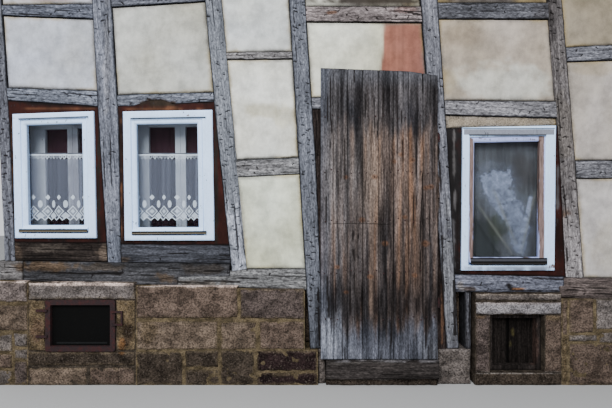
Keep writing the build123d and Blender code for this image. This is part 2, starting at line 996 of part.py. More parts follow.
def write_plinth():
    """Stones and masonry from the ground to the sill beams, and what closes their openings."""
    at_left = plinth_level(hatch_surround_left)
    at_right = plinth_level(hatch_surround_right)
    at_door = plinth_level(plinth_end_at_door)
    write("plinth_left", masonry(wall_left, hatch_surround_left, 0.0, plinth_level(wall_left), at_left))
    middle = masonry(hatch_surround_right, plinth_end_at_door, base_course_top, at_right, at_door)
    write("plinth_middle", middle)
    write("base_course", stone(hatch_surround_right, base_course_end, 0.0, base_course_top))
    write("plinth_right", masonry(cellar_surround_right, wall_right, 0.0, *sill_right_bottom))

    hatch_lintel = masonry(hatch_surround_left, hatch_surround_right, hatch_top, at_left, at_right)
    cellar_lintel = stone(cellar_surround_left, cellar_surround_right, cellar_top, window_beam_bottom)
    write("cellar_lintels", [hatch_lintel, cellar_lintel])
    write("cellar_jambs", cellar_jambs())
    hatch_sill = stone(hatch_surround_left, hatch_surround_right, 0.0, hatch_bottom)
    cellar_sill = stone(cellar_surround_left, cellar_surround_right, 0.0, cellar_bottom)
    write("cellar_sills", [hatch_sill, cellar_sill])

    write("threshold_stone", stone(opening_left, threshold_right, 0.0, threshold_bottom))
    threshold_front = -threshold_reach
    threshold = block(
        opening_left, threshold_right, threshold_front, masonry_back, threshold_bottom, threshold_top
    )
    write("threshold", threshold)
    write("post_stones", post_stones())
    write("door_reveals", door_reveals())
    stud_left = post_stone_right - stud_width
    write("short_stud", block(stud_left, post_stone_right, 0.0, BACK, base_course_top, window_beam_bottom))

    write("cellar_frame", cellar_frame())
    write("cellar_boards", cellar_boards())
    write("hatch_frame", hatch_frame())
    write("hatch_panel", hatch_panel())


def cellar_frame():
    """Wooden frame set deep in the right cellar opening."""
    front = masonry_front + cellar_frame_setback
    back = front + cellar_frame_depth
    face = cellar_frame_face
    ring = block(cellar_left, cellar_right, front, back, cellar_bottom, cellar_top)
    daylight = block(
        cellar_left + face, cellar_right - face, front - 1, back + 1, cellar_bottom + face, cellar_top - face
    )
    return ring - daylight


def cellar_boards():
    """Two boards with a slit between them, closing the frame from inside."""
    middle = (cellar_left + cellar_right) / 2 - cellar_slit_offset
    front = masonry_front + cellar_frame_setback + cellar_frame_depth
    back = front + cellar_board_thickness
    half = cellar_board_slit / 2
    return [
        block(cellar_left, middle - half, front, back, cellar_bottom, cellar_top),
        block(middle + half, cellar_right, front, back, cellar_bottom, cellar_top),
    ]


# Cellar hatch

def rounded_plate(inset, front, back, radius):
    """A plate with rounded corners that fills the hatch opening but for an inset."""
    plate = block(
        hatch_left + inset, hatch_right - inset, front, back, hatch_bottom + inset, hatch_top - inset
    )
    return fillet(plate.edges().filter_by(Axis.Y), radius)


def hatch_frame():
    """Cast rim of the cellar hatch, flush in its stone opening, with its ironwork."""
    back = masonry_front + hatch_thickness
    rim = rounded_plate(0.0, masonry_front, back, hatch_corner)
    rim = rim - rounded_plate(hatch_rim, masonry_front - 1, back + 1, hatch_corner / 2)
    for piece in hatch_lugs() + [hatch_hasp()]:
        rim = rim + piece
    return rim


def hatch_panel():
    """Sheet iron panel behind the rim."""
    lap = hatch_rim / 2
    near = masonry_front + hatch_thickness
    far = near + hatch_panel_thickness
    return block(hatch_left + lap, hatch_right - lap, near, far, hatch_bottom + lap, hatch_top - lap)


def hatch_lugs():
    """Hinge lugs that reach over the left jamb."""
    left = hatch_left - lug_length
    right = hatch_left + hatch_rim / 2
    half = lug_height / 2
    front = masonry_front - lug_thickness
    return [block(left, right, front, masonry_front, level - half, level + half) for level in lug_levels]


def hatch_hasp():
    """Bracket of the hasp on the right: two bars joined at their ends."""
    bar = bracket_bar
    left = hatch_right - hatch_rim / 2
    right = hatch_right + bracket_reach
    top = bracket_bottom + bracket_height
    front = masonry_front - bar
    hasp = block(left, right, front, masonry_front, bracket_bottom, top)
    gap = block(left - 1, right - bar, front - 1, masonry_front + 1, bracket_bottom + bar, top - bar)
    return hasp - gap


# The whole wall

def plank_levels(bay, top):
    """Levels of a window's sill plank, which lies on the left sill beam."""
    low_left = sill_left_level(post_middle(bay, sill_left_top[0]))
    low_right = sill_left_level(post_middle(bay + 1, sill_left_top[0]))
    return low_left, top[0], low_right, top[1]


def rail_groups():
    """Every rail by name: its bay, its levels and its waney hollow if it has one."""
    rises = (0.0, lintel_hollow_rise, lintel_hollow_rise, 0.0)
    hollow = [(post_foot_x[1] + x, rise) for x, rise in zip(lintel_hollow, rises)]
    return {
        "top_rails": [(0, top_rail_1, ()), (1, top_rail_2, ()), (3, top_rail_4, ()), (4, top_rail_5, ())],
        "lintels": [(0, lintel_1, ()), (1, lintel_2, hollow), (3, lintel_4, ()), (4, lintel_5, ())],
        "cross_rails": [
            (2, upper_rail_3, ()),
            (2, lower_rail_3, ()),
            (5, upper_rail_6, ()),
            (5, lower_rail_6, ()),
        ],
        "window_sill_planks": [
            (0, plank_levels(0, sill_plank_top_1), ()),
            (1, plank_levels(1, sill_plank_top_2), ()),
        ],
    }


def sill_middle_levels():
    """Levels of the middle sill beam where it meets the left door post."""
    low = plinth_level(door_post_foot)
    return low, sill_middle_top, low, sill_middle_top


def window_beam_levels():
    """Levels of the beam under the third window."""
    return window_beam_bottom, window_beam_top[0], window_beam_bottom, window_beam_top[1]


def write_sills(sill_end, sill_left, sill_middle, window_beam, sill_right):
    """Cut the mortises of the posts into the sill beams and write them."""
    left_pair = [
        sill_end - foot_tenon(0, mortise_end_gap),
        sill_left - foot_tenon(1, mortise_end_gap),
    ]
    write("sill_beam_left", left_pair)
    sill_middle = sill_middle + rail_tenon(left_door_post - 1, sill_middle_levels(), 1, 0.0)
    write("sill_beam_middle", sill_middle - foot_tenon(left_door_post - 1, mortise_end_gap))
    write("window_beam", window_beam + rail_tenon(right_door_post, window_beam_levels(), 0, 0.0))
    mortises = [foot_tenon(i, mortise_end_gap) for i in posts_on_sill_right]
    write("sill_beam_right", cut(sill_right, mortises))


def write_rails(rails, raw_rails, neighbours):
    """Finish and write every rail, and give back its mortises with the post that each one is in."""
    mortises = []
    for name, group in rails.items():
        finished = []
        for (bay, levels, _), raw in zip(group, raw_rails[name]):
            finished.append(finished_rail(bay, levels, raw, neighbours))
            mortises.append((bay, rail_tenon(bay, levels, 0, mortise_end_gap)))
            mortises.append((bay + 1, rail_tenon(bay, levels, 1, mortise_end_gap)))
        write(name, finished)
    return mortises


def write_posts(posts, sills, mortises, spikes):
    """Finish every post: worn arrises, tenons at its ends and the mortises of what meets it."""
    for i, body in enumerate(posts):
        if i not in door_posts:
            body = cut(body, sills)
        body = chamfer(long_front_edges(body, 0.0), worn_edge)
        body = body + head_tenon(i, 0.0)
        if i not in door_posts:
            body = body + foot_tenon(i, 0.0)
        body = cut(body, [shape for owner, shape in mortises if owner == i])
        if i == right_door_post:
            body = cut(body, spikes)
        write("post_%d" % (i + 1), body)


def write_plate():
    """Write the wall plate, with a mortise for the head of every post."""
    left = post_head_x[0] - post_head_width[0] / 2 - plate_overhang
    right = post_head_x[-1] + post_head_width[-1] / 2 + plate_overhang
    plate = block(left, right, 0.0, BACK, plate_bottom, plate_bottom + plate_height)
    plate = chamfer(long_front_edges(plate, 0.0), worn_edge)
    write("wall_plate", cut(plate, [head_tenon(i, mortise_end_gap) for i in range(len(post_foot_x))]))


def write_infill(timbers):
    """Write the plastered panels of every bay."""
    right_post = right_door_post + 1
    right_levels = (
        sill_right_bottom[0],
        sill_right_level(post_foot_x[right_post]),
        sill_right_bottom[1],
        sill_right_top[1],
    )
    write("infill_bay_1", infill(0, inside_rail(lintel_1), timbers))
    write("infill_bay_2", infill(1, inside_rail(lintel_2, lintel_hollow_rise), timbers))
    write("infill_bay_3", infill(2, inside_rail(sill_middle_levels()), timbers))
    write("infill_bay_4", infill(3, inside_rail(lintel_4), timbers))
    write("infill_bay_5", infill_over_window(cloth_windows[0], timbers))
    write("infill_bay_6", infill(right_post, inside_rail(right_levels), timbers))


def write_windows(timbers):
    """Write the linings, frames, sashes, glass, inner casements and curtains."""
    plank_1 = plank_levels(0, sill_plank_top_1)
    plank_2 = plank_levels(1, sill_plank_top_2)
    linings = [
        lining(0, inside_rail(lintel_1), inside_rail(plank_1), timbers),
        lining(1, inside_rail(lintel_2, lintel_hollow_rise), inside_rail(plank_2), timbers),
        lining(2, None, inside_rail(window_beam_levels()), timbers),
    ]
    write("window_linings", linings)
    for w in windows:
        write("window_frame_%d" % (w + 1), window_frame(w))
        write("window_sash_%d" % (w + 1), sash(w))
    glass = [pane(w) for w in windows]
    for w in net_windows:
        glass += casement_panes(w)
        write("net_curtain_%d" % (w + 1), net_curtain(w))
    write("window_panes", glass)
    write("inner_casements", [leaf for w in net_windows for leaf in inner_casement(w)])
    write("curtain_rods", [net_rod(w) for w in net_windows])
    write("red_curtains", [red_curtain(w) for w in net_windows])
    write("hung_cloth", hung_cloth(cloth_windows[0]))


def write_door(posts, spikes):
    """Write the leaf with its hinges, and the boards beside it."""
    write("door_boards", door_boards())
    write("door_ledges", door_ledges())
    write("door_straps", door_straps())
    write("door_pintles", [pintle(level) for level in strap_levels])
    write("door_jambs", door_jambs([posts[i] for i in door_posts] + spikes + post_stones()))


def main():
    """Fit every piece to its neighbours and write them all."""
    os.makedirs("parts", exist_ok=True)
    posts = [raw_post(i) for i in range(len(post_foot_x))]
    sills = [
        raw_sill_end(),
        raw_sill_left(),
        raw_sill_middle() - posts[left_door_post],
        raw_window_beam() - posts[right_door_post],
        raw_sill_right() - window_beam_recess(),
    ]
    rails = rail_groups()
    raw_rails = {name: [raw_rail(*rail) for rail in group] for name, group in rails.items()}
    timbers = posts + sills + [rail for group in raw_rails.values() for rail in group]
    spikes = [pintle_spike(level) for level in strap_levels]

    mortises = write_rails(rails, raw_rails, posts + sills)
    into_left_post = rail_tenon(left_door_post - 1, sill_middle_levels(), 1, mortise_end_gap)
    into_right_post = rail_tenon(right_door_post, window_beam_levels(), 0, mortise_end_gap)
    mortises.append((left_door_post, into_left_post))
    mortises.append((right_door_post, into_right_post))
    write_posts(posts, sills, mortises, spikes)
    write_plate()
    write_sills(*sills)
    write_infill(timbers)
    write_windows(timbers)
    write_door(posts, spikes)
    write_plinth()


main()
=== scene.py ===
# %% [markdown]
# # Street wall of an abandoned half-timbered house
#
# The wall is a row of leaning oak posts with rails between them, plaster in the bays and a
# stone plinth under the sill beams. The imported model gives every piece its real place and
# size. This lesson gives each one its surface: hewn and weathered timber, limed plaster,
# rough stones in old mortar, flaking paint, nets and a ragged cloth behind the glass.

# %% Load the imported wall
import itertools
import math
import random

import bmesh
import bpy
import numpy as np
from mathutils import Matrix, Vector


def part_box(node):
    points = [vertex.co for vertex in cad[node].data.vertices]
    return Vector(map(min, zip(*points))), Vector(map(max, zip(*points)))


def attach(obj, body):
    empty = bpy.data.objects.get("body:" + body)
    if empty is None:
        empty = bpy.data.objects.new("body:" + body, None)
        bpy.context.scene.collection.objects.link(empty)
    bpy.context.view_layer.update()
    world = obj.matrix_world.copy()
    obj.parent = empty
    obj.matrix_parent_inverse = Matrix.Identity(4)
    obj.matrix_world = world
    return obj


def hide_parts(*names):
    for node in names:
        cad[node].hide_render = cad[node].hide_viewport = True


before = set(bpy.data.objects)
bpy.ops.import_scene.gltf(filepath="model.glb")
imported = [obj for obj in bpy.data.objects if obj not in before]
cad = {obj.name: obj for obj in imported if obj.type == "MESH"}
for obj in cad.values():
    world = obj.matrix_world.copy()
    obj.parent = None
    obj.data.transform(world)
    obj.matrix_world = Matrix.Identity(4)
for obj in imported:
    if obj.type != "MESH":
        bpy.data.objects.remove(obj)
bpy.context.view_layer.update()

STONE_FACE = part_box("plinth_left")[0].y
MASONRY_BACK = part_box("plinth_left")[1].y
TIMBER_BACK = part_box("post_2")[1].y
COARSE = 1.0

# %% [markdown]
# The photograph is taken level and square to the wall, from the street. The camera's width
# of view at the timbers' face is the stretch of wall that shows, and its distance follows
# from how far the inner window leaves seem to have moved behind the panes. A camera could be
# placed by eye too, but working from the width makes the wall fill the picture exactly.

# %% Camera
VIEW_WIDTH = 4.468
VIEW_CENTRE = Vector((-0.164, 0.0, 1.314))
VIEW_DISTANCE = 3.2
SENSOR = 36.0

lens = bpy.data.cameras.new("street_view")
lens.sensor_width = SENSOR
lens.lens = SENSOR * VIEW_DISTANCE / VIEW_WIDTH
camera = bpy.data.objects.new("street_view", lens)
camera.location = VIEW_CENTRE + Vector((0.0, -VIEW_DISTANCE, 0.0))
camera.rotation_euler = (math.radians(90), 0.0, 0.0)
bpy.context.scene.collection.objects.link(camera)
bpy.context.scene.camera = camera
print("lens %.1f mm" % lens.lens)

# %% [markdown]
# An overcast street is lit from the whole sky. A pale world does that, and one broad lamp
# above the camera gives the soft shadows under sills, lintels and the edges of the boards.
# A picture of a sky would do as well, but it would put its own colours on the plaster.

# %% Light and floor
SKY_COLOUR = (0.93, 0.96, 1.0, 1.0)
SKY_STRENGTH = 1.0
LAMP_POWER = 1000.0
LAMP_SIZE = 4.0
LAMP_PLACE = Vector((-1.6, -6.0, 5.6))
LAMP_AIM = Vector((0.0, 0.0, 1.2))
FLOOR_SIZE = 30.0
FLOOR_GREY = (0.32, 0.32, 0.32, 1.0)
FLOOR_ROUGHNESS = 0.9

world = bpy.data.worlds.new("overcast_sky")
world.use_nodes = True
world.node_tree.nodes["Background"].inputs["Color"].default_value = SKY_COLOUR
world.node_tree.nodes["Background"].inputs["Strength"].default_value = SKY_STRENGTH
bpy.context.scene.world = world

lamp_data = bpy.data.lights.new("soft_lamp", "AREA")
lamp_data.energy = LAMP_POWER
lamp_data.size = LAMP_SIZE
lamp = bpy.data.objects.new("soft_lamp", lamp_data)
lamp.location = LAMP_PLACE
lamp.rotation_euler = (LAMP_AIM - LAMP_PLACE).to_track_quat("-Z", "Y").to_euler()
bpy.context.scene.collection.objects.link(lamp)

floor_bm = bmesh.new()
bmesh.ops.create_grid(floor_bm, x_segments=1, y_segments=1, size=FLOOR_SIZE / 2)
floor_mesh = bpy.data.meshes.new("floor")
floor_bm.to_mesh(floor_mesh)
floor_bm.free()
floor = bpy.data.objects.new("floor", floor_mesh)
bpy.context.scene.collection.objects.link(floor)
floor_paint = bpy.data.materials.new("pale_floor")
floor_paint.use_nodes = True
floor_shader = floor_paint.node_tree.nodes["Principled BSDF"]
floor_shader.inputs["Base Color"].default_value = FLOOR_GREY
floor_shader.inputs["Roughness"].default_value = FLOOR_ROUGHNESS
floor_mesh.materials.append(floor_paint)

# %% [markdown]
# A picture presses bright tones together: a wall that throws back four times the light does
# not look four times as bright. The table gives the light that shows as each tone, from 0 to
# 255. With it and the strength of the light on the wall, a colour can be written down as it
# looks in the street, and comes out as the share of the light that the surface throws back.

# %% Colours as they look
TONES = (0.0, 2.6, 8.9, 18.4, 31.8, 46.2, 57.9, 73.7, 86.6, 107.6,
         123.5, 145.4, 159.6, 177.3, 196.5, 209.2, 217.2, 226.8, 240.6)
LIGHT = (0.0, 0.002, 0.005, 0.01, 0.02, 0.035, 0.05, 0.075, 0.1, 0.15,
         0.2, 0.3, 0.4, 0.6, 1.0, 1.5, 2.0, 3.0, 6.0)
STREET = 2.6
BEHIND_GLASS = 1.14
IN_THE_ROOM = 0.37


def rgb(red, green, blue, light=STREET):
    """The colour of a surface that looks like this in the given light."""
    shares = np.interp((red, green, blue), TONES, LIGHT) / light
    return (*(min(float(share), 0.97) for share in shares), 1.0)


# %% [markdown]
# Materials are chains of nodes. These helpers add one node, link or set its inputs, and
# give back the socket that the next node reads, so that a finish can be read as a recipe.
# In the editor the same nodes would be placed by hand, and nobody could compare two finishes.

# %% A node, a noise and a step
def add(tree, kind, inputs, **settings):
    """Adds a shader node, sets it up, and sets or links its inputs."""
    made = tree.nodes.new("ShaderNode" + kind)
    for key, value in settings.items():
        setattr(made, key, value)
    for key, value in inputs.items():
        if isinstance(value, bpy.types.NodeSocket):
            tree.links.new(value, made.inputs[key])
        else:
            made.inputs[key].default_value = value
    return made


def mapped(tree, vector, scale, turn=(0.0, 0.0, 0.0)):
    """The vector turned, and scaled by one number or by three."""
    scale = (scale,) * 3 if isinstance(scale, float) else scale
    return add(tree, "Mapping", {"Vector": vector, "Scale": scale, "Rotation": turn}).outputs[0]


def cloud(tree, vector, scale, detail=5.0, rough=0.55, distortion=0.0, turn=(0.0, 0.0, 0.0)):
    """A soft noise between 0 and 1; the scale is about its number of bumps to a metre."""
    place = mapped(tree, vector, scale, turn)
    inputs = {"Vector": place, "Scale": 1.0, "Detail": detail, "Roughness": rough, "Distortion": distortion}
    return add(tree, "TexNoise", inputs).outputs["Fac"]


def between(tree, value, low, high, start=0.0, end=1.0):
    """Start below low, end above high, and a smooth step from one to the other."""
    inputs = {"Value": value, "From Min": low, "From Max": high, "To Min": start, "To Max": end}
    return add(tree, "MapRange", inputs, interpolation_type="SMOOTHSTEP").outputs[0]


def varied(tree, noise, start, end):
    """Start where a noise is low, end where it is high."""
    return between(tree, noise, 0.3, 0.7, start, end)


def blended(tree, factor, first, second, blend="MIX"):
    """First colour, with the second one over it by a factor."""
    inputs = {0: factor, 6: first, 7: second}
    return add(tree, "Mix", inputs, data_type="RGBA", blend_type=blend).outputs[2]


# %% Sums of values
def maths(tree, operation, first, *others):
    """Values taken together one after another."""
    for other in others:
        first = add(tree, "Math", {0: first, 1: other}, operation=operation).outputs[0]
    return first


def times(tree, *values):
    """The product of the values."""
    return maths(tree, "MULTIPLY", *values)


def plus(tree, *values):
    """The sum of the values."""
    return maths(tree, "ADD", *values)


def minus(tree, first, second):
    """The first value without the second."""
    return maths(tree, "SUBTRACT", first, second)


def highest(tree, *values):
    """The highest of the values."""
    return maths(tree, "MAXIMUM", *values)


def unsigned(tree, value):
    """The value without its sign."""
    return maths(tree, "ABSOLUTE", value, 0.0)


# %% Colours, and what the points carry
def shaded(tree, colour, tone):
    """A colour made lighter or darker by a value."""
    grey = add(tree, "CombineColor", {0: tone, 1: tone, 2: tone}).outputs[0]
    return blended(tree, 1.0, colour, grey, "MULTIPLY")


def own(tree, name, output="Fac"):
    """A value, or a Vector or Color, that is written on the points of the piece."""
    return add(tree, "Attribute", {}, attribute_name=name).outputs[output]


def own_colour(tree):
    """The colour that is painted on the points of the piece."""
    return own(tree, "tint", "Color")


def own_place(tree):
    """Where on the piece a point is, in metres."""
    return add(tree, "TexCoord", {}).outputs["Object"]


# %% Starting and ending a material
def new_material(name, roughness, specular=0.05):
    """A material with its node tree and its shader."""
    material = bpy.data.materials.new(name)
    material.use_nodes = True
    tree = material.node_tree
    shader = tree.nodes["Principled BSDF"]
    shader.inputs["Roughness"].default_value = roughness
    shader.inputs["Specular IOR Level"].default_value = specular
    return material, tree, shader


def surfaced(tree, shader, colour, height, distance):
    """Gives the shader its colour, and lets a height roughen its shading."""
    tree.links.new(colour, shader.inputs["Base Color"])
    bump = add(tree, "Bump", {"Height": height, "Distance": distance, "Strength": 1.0})
    tree.links.new(bump.outputs[0], shader.inputs["Normal"])


# %% [markdown]
# Old oak that has stood in the weather is silver grey. Its soft fibres have washed out, so
# the grain stands up in ridges with dark checks between them, and the ridges get a painted
# highlight, a lighter copy of the wood's colour. The pattern reads the piece's own grain
# directions, so it runs along each leaning timber, and the colour and the deep scars come
# from values written on the points. A picture of wood would repeat and show seams at the
# corners, and noise does neither.

# %% Weathered timber
CHECK_DARK = rgb(30, 26, 25)
RIDGE_HIGHLIGHT = 1.45


def timber_material(name, contrast, fibre=150.0, splits=0.5, ridge=0.3, specks=1.0):
    """Wood with fibres, checks and painted highlights on its ridges, in coordinates that follow the grain."""
    material, tree, shader = new_material(name, 0.88)
    grain = own(tree, "grain", "Vector")
    fine = cloud(tree, grain, (8.0, fibre, fibre), 4.0, 0.62)
    broad = cloud(tree, grain, (1.8, 30.0, 30.0), 5.0, 0.6, 0.6)
    patch = cloud(tree, grain, (2.6, 7.0, 7.0), 4.0)
    grit = cloud(tree, grain, (60.0, 120.0, 120.0), 2.0)
    speck = cloud(tree, grain, (30.0, 85.0, 85.0), 3.0, 0.65, turn=(0.4, 0.2, 0.9))
    split = cloud(tree, grain, (3.0, 75.0, 75.0), 3.0, 0.5, 0.5)
    torn = between(tree, split, 0.69 - 0.06 * splits, 0.76 - 0.06 * splits)
    ragged = plus(tree, own(tree, "scar"), times(tree, minus(tree, fine, 0.5), 0.5))
    deep = between(tree, ragged, 0.22, 0.75)
    tone = times(
        tree,
        between(tree, fine, 0.28, 0.72, 1.0 - 0.5 * contrast, 1.0 + 0.4 * contrast),
        varied(tree, broad, 1.0 - 0.45 * contrast, 1.0 + 0.36 * contrast),
        varied(tree, patch, 1.0 - 0.25 * contrast, 1.0 + 0.22 * contrast),
        varied(tree, grit, 1.0 - 0.35 * contrast, 1.0 + 0.3 * contrast),
        between(tree, speck, 0.37, 0.47, 1.0 - 0.62 * specks, 1.0),
        between(tree, speck, 0.52, 0.63, 1.0, 1.0 + 0.75 * specks),
        1.36,
    )
    base = own_colour(tree)
    # Painted highlight: the ridges get a lighter copy of the base colour.
    ridge_highlight = between(tree, broad, 0.52, 0.75, 0.0, ridge)
    colour = shaded(tree, blended(tree, ridge_highlight, base, shaded(tree, base, RIDGE_HIGHLIGHT)), tone)
    dark = highest(tree, times(tree, torn, 0.6), times(tree, deep, 0.9))
    height = minus(tree, times(tree, fine, 0.5), times(tree, dark, 1.2))
    height = plus(tree, height, times(tree, broad, 0.5))
    surfaced(tree, shader, blended(tree, dark, colour, CHECK_DARK), height, 0.0035)
    return material


post_wood = timber_material("hacked_oak", 0.8, specks=0.6)
rail_wood = timber_material("weathered_oak", 0.85, splits=0.7, specks=0.85)
dark_wood = timber_material("damp_oak", 1.0, splits=0.4, ridge=0.2, specks=0.5)
door_wood = timber_material("weathered_spruce", 0.9, 190.0, splits=0.25, ridge=0.25, specks=0.35)

# %% [markdown]
# Lime plaster is nearly white, dulled by dust. It is never flat: the float left low waves,
# and damp from the timbers leaves ochre and grey edges. Those are painted on the points,
# and clouds of noise break them up. The noise reads metres in the piece, so it needs no
# unwrapping and is as coarse on a wide panel as on a narrow one.

# %% Lime plaster
def plaster_material():
    """Mottled lime plaster, gritty where its points say so."""
    material, tree, shader = new_material("lime_plaster", 0.95)
    place = own_place(tree)
    mottle = cloud(tree, place, 7.0, 7.0, 0.66)
    grit = cloud(tree, place, 110.0, 3.0, 0.7)
    brushed = cloud(tree, place, (34.0, 34.0, 10.0), 3.0)
    rough = times(tree, minus(tree, grit, 0.5), plus(tree, own(tree, "coarse"), 0.12))
    tone = times(tree, varied(tree, mottle, 0.74, 1.2), varied(tree, brushed, 0.96, 1.04))
    tone = plus(tree, tone, times(tree, rough, 2.4))
    height = plus(tree, times(tree, rough, 2.0), times(tree, mottle, 0.8))
    surfaced(tree, shader, shaded(tree, own_colour(tree), tone), height, 0.0025)
    return material


lime = plaster_material()

# %% [markdown]
# The plinth is sandstone, dressed roughly and laid in ochre lime mortar. Each stone has its
# own colour between buff, brown and purple, dark pits, and a speckled weathered skin. One
# recipe does for every stone, because the colour of each is written on its points.

# %% Sandstone and mortar
PIT_DARK = rgb(34, 28, 24)
SPECK_LIGHT = rgb(150, 139, 128)


def stone_material(name, speck, pit, size=1.0):
    """Weathered sandstone with specks and pits."""
    material, tree, shader = new_material(name, 0.93)
    place = own_place(tree)
    broad = cloud(tree, place, (9.0 * size, 9.0 * size, 13.0 * size), 5.0, 0.6, 0.4)
    grit = cloud(tree, place, (92.0 * size, 92.0 * size, 110.0 * size), 3.0, 0.6)
    pits = cloud(tree, place, (74.0 * size, 74.0 * size, 90.0 * size), 3.0, 0.7)
    pits = between(tree, pits, 0.6, 0.7)
    lights = between(tree, cloud(tree, place, 80.0 * size, 3.0, turn=(0.7, 0.3, 0.2)), 0.58, 0.68)
    tone = times(
        tree,
        between(tree, broad, 0.32, 0.68, 0.55, 1.6),
        between(tree, grit, 0.36, 0.64, 1.0 - speck, 1.0 + speck),
        1.3,
    )
    colour = shaded(tree, own_colour(tree), tone)
    colour = blended(tree, times(tree, lights, 0.42), colour, SPECK_LIGHT)
    dark = highest(tree, times(tree, pits, pit), own(tree, "scar"))
    height = minus(tree, plus(tree, times(tree, grit, 0.7), broad), pits)
    surfaced(tree, shader, blended(tree, dark, colour, PIT_DARK), height, 0.006)
    return material


sandstone = stone_material("sandstone", 0.5, 0.65)
mortar = stone_material("ochre_mortar", 0.35, 0.4, 1.4)

# %% [markdown]
# Linings and jamb boards keep their old red-brown paint. The window frames are white, with
# fine cracks, and where the paint has flaked the wood shows through in ragged islands. The
# paint could be a thin shell with holes, but from the street a ragged border between two
# colours with a bump looks the same. How much has flaked is written on the points.

# %% Paints
DIRT_FLECK = rgb(62, 58, 62)


def paint_material(name, bare, roughness, crack, wear=0.0):
    """Cracked paint that has flaked off to bare wood where its points say so."""
    material, tree, shader = new_material(name, roughness, 0.12)
    place = own_place(tree)
    ragged = cloud(tree, place, (90.0, 90.0, 34.0), 6.0, 0.7)
    broad = cloud(tree, place, (8.0, 8.0, 3.0), 4.0)
    streak = cloud(tree, place, (160.0, 160.0, 12.0), 3.0)
    flaked = between(tree, plus(tree, own(tree, "flaked"), ragged), 0.98 - wear, 1.05 - wear)
    tone = times(
        tree,
        varied(tree, broad, 0.95, 1.05),
        between(tree, ragged, 0.3, 0.75, 1.04, 0.96),
        varied(tree, streak, 0.96, 1.03),
    )
    wood = shaded(tree, bare, varied(tree, streak, 0.6, 1.4))
    colour = blended(tree, flaked, shaded(tree, own_colour(tree), tone), wood)
    web_place = mapped(tree, place, (55.0, 55.0, 26.0))
    web = add(tree, "TexVoronoi", {"Vector": web_place, "Scale": 1.0}, feature="DISTANCE_TO_EDGE")
    cracks = between(tree, web.outputs["Distance"], 0.0, 0.06, crack, 0.0)
    colour = blended(tree, cracks, colour, shaded(tree, colour, 0.45))
    fleck = between(tree, cloud(tree, place, (46.0, 46.0, 30.0), 2.0), 0.70, 0.73, 0.0, 0.75)
    height = minus(tree, 1.0, highest(tree, flaked, cracks))
    surfaced(tree, shader, blended(tree, fleck, colour, DIRT_FLECK), height, 0.0015)
    return material


white_paint = paint_material("old_white_paint", rgb(160, 142, 137), 0.5, 0.18)
red_paint = paint_material("old_red_paint", rgb(30, 22, 20), 0.8, 0.4, 0.1)


# %% [markdown]
# The straps, the pintles and the rim of the hatch are wrought iron, brown with rust, and the
# hatch itself is black. Rust is a second colour in clouds over the first. The old panes are
# thin and nearly clear. Real refraction would cost much light and show little, so the glass
# is a faint film that lets the curtains through and bends its gloss in slow waves.

# %% Iron and glass
def iron_material(name, base, rust, amount):
    """Old iron, rusty where the clouds are dense."""
    material, tree, shader = new_material(name, 0.75, 0.08)
    place = own_place(tree)
    patch = cloud(tree, place, 24.0, 6.0, 0.7)
    grit = cloud(tree, place, 170.0, 3.0)
    colour = blended(tree, between(tree, patch, 0.62 - amount / 3, 0.78 - amount / 3), base, rust)
    colour = shaded(tree, colour, varied(tree, grit, 0.7, 1.3))
    surfaced(tree, shader, colour, plus(tree, patch, grit), 0.0015)
    return material


rusty_iron = iron_material("rusty_iron", rgb(60, 46, 48), rgb(80, 46, 46), 0.5)
black_iron = iron_material("black_sheet_iron", rgb(3, 3, 3), rgb(9, 8, 8), 0.2)
rod_metal = iron_material("dull_rod", rgb(150, 156, 166), rgb(110, 108, 110), 0.1)


def glass_material():
    """Clear old glass with a faint wave."""
    material, tree, shader = new_material("old_glass", 0.06, 0.05)
    shader.inputs["Base Color"].default_value = (0.014, 0.012, 0.014, 1.0)
    shader.inputs["Alpha"].default_value = 0.12
    wave = cloud(tree, own_place(tree), (3.0, 3.0, 5.0), 2.0)
    bump = add(tree, "Bump", {"Height": wave, "Distance": 0.002, "Strength": 0.3})
    tree.links.new(bump.outputs[0], shader.inputs["Normal"])
    return material


old_glass = glass_material()

# %% [markdown]
# The CAD pieces have flat faces. To give them a surface, a copy of a piece is merged, cut
# into small faces by parallel planes, and its points are moved. Subdividing each face would
# leave slivers on a long timber, and planes leave squares. They work their way from one end
# to the other, so each one only has to cut the faces that still lie ahead.

# %% The solids of a CAD piece
MERGE = 1e-5
FLAT = 0.01
UP = Vector((0.0, 0.0, 1.0))
RIGHT = Vector((1.0, 0.0, 0.0))
INWARD = Vector((0.0, 1.0, 0.0))


def box_of(bm):
    """The low and the high corner of a bmesh."""
    return [Vector([pick(v.co[k] for v in bm.verts) for k in range(3)]) for pick in (min, max)]


def from_the_left(bm):
    """What solids are sorted by: their left end, then their foot."""
    low, _ = box_of(bm)
    return round(low.x, 2), low.z


def solids_of(node):
    """The solids of a CAD piece, merged, each as a bmesh of its own, from left to right."""
    whole = bmesh.new()
    whole.from_mesh(cad[node].data)
    bmesh.ops.remove_doubles(whole, verts=whole.verts, dist=MERGE)
    bmesh.ops.dissolve_limit(whole, angle_limit=FLAT, verts=whole.verts, edges=whole.edges)
    whole.faces.index_update()
    waiting = set(whole.faces)
    solids = []
    for seed_face in list(whole.faces):
        if seed_face not in waiting:
            continue
        keep, ahead = set(), [seed_face]
        waiting.discard(seed_face)
        while ahead:
            face = ahead.pop()
            keep.add(face.index)
            for other in {f for edge in face.edges for f in edge.link_faces} & waiting:
                waiting.discard(other)
                ahead.append(other)
        part = whole.copy()
        part.faces.index_update()
        bmesh.ops.delete(part, geom=[f for f in part.faces if f.index not in keep], context="FACES")
        solids.append(part)
    whole.free()
    return sorted(solids, key=from_the_left)


def boxes_of(node):
    """The low and the high corner of each solid of a CAD piece."""
    solids = solids_of(node)
    boxes = [box_of(bm) for bm in solids]
    for bm in solids:
        bm.free()
    return boxes


# %% Cutting by parallel planes
def whole_geometry(faces):
    """The faces with their edges and points."""
    edges = {edge for face in faces for edge in face.edges}
    points = {point for face in faces for point in face.verts}
    return list(faces) + list(edges) + list(points)


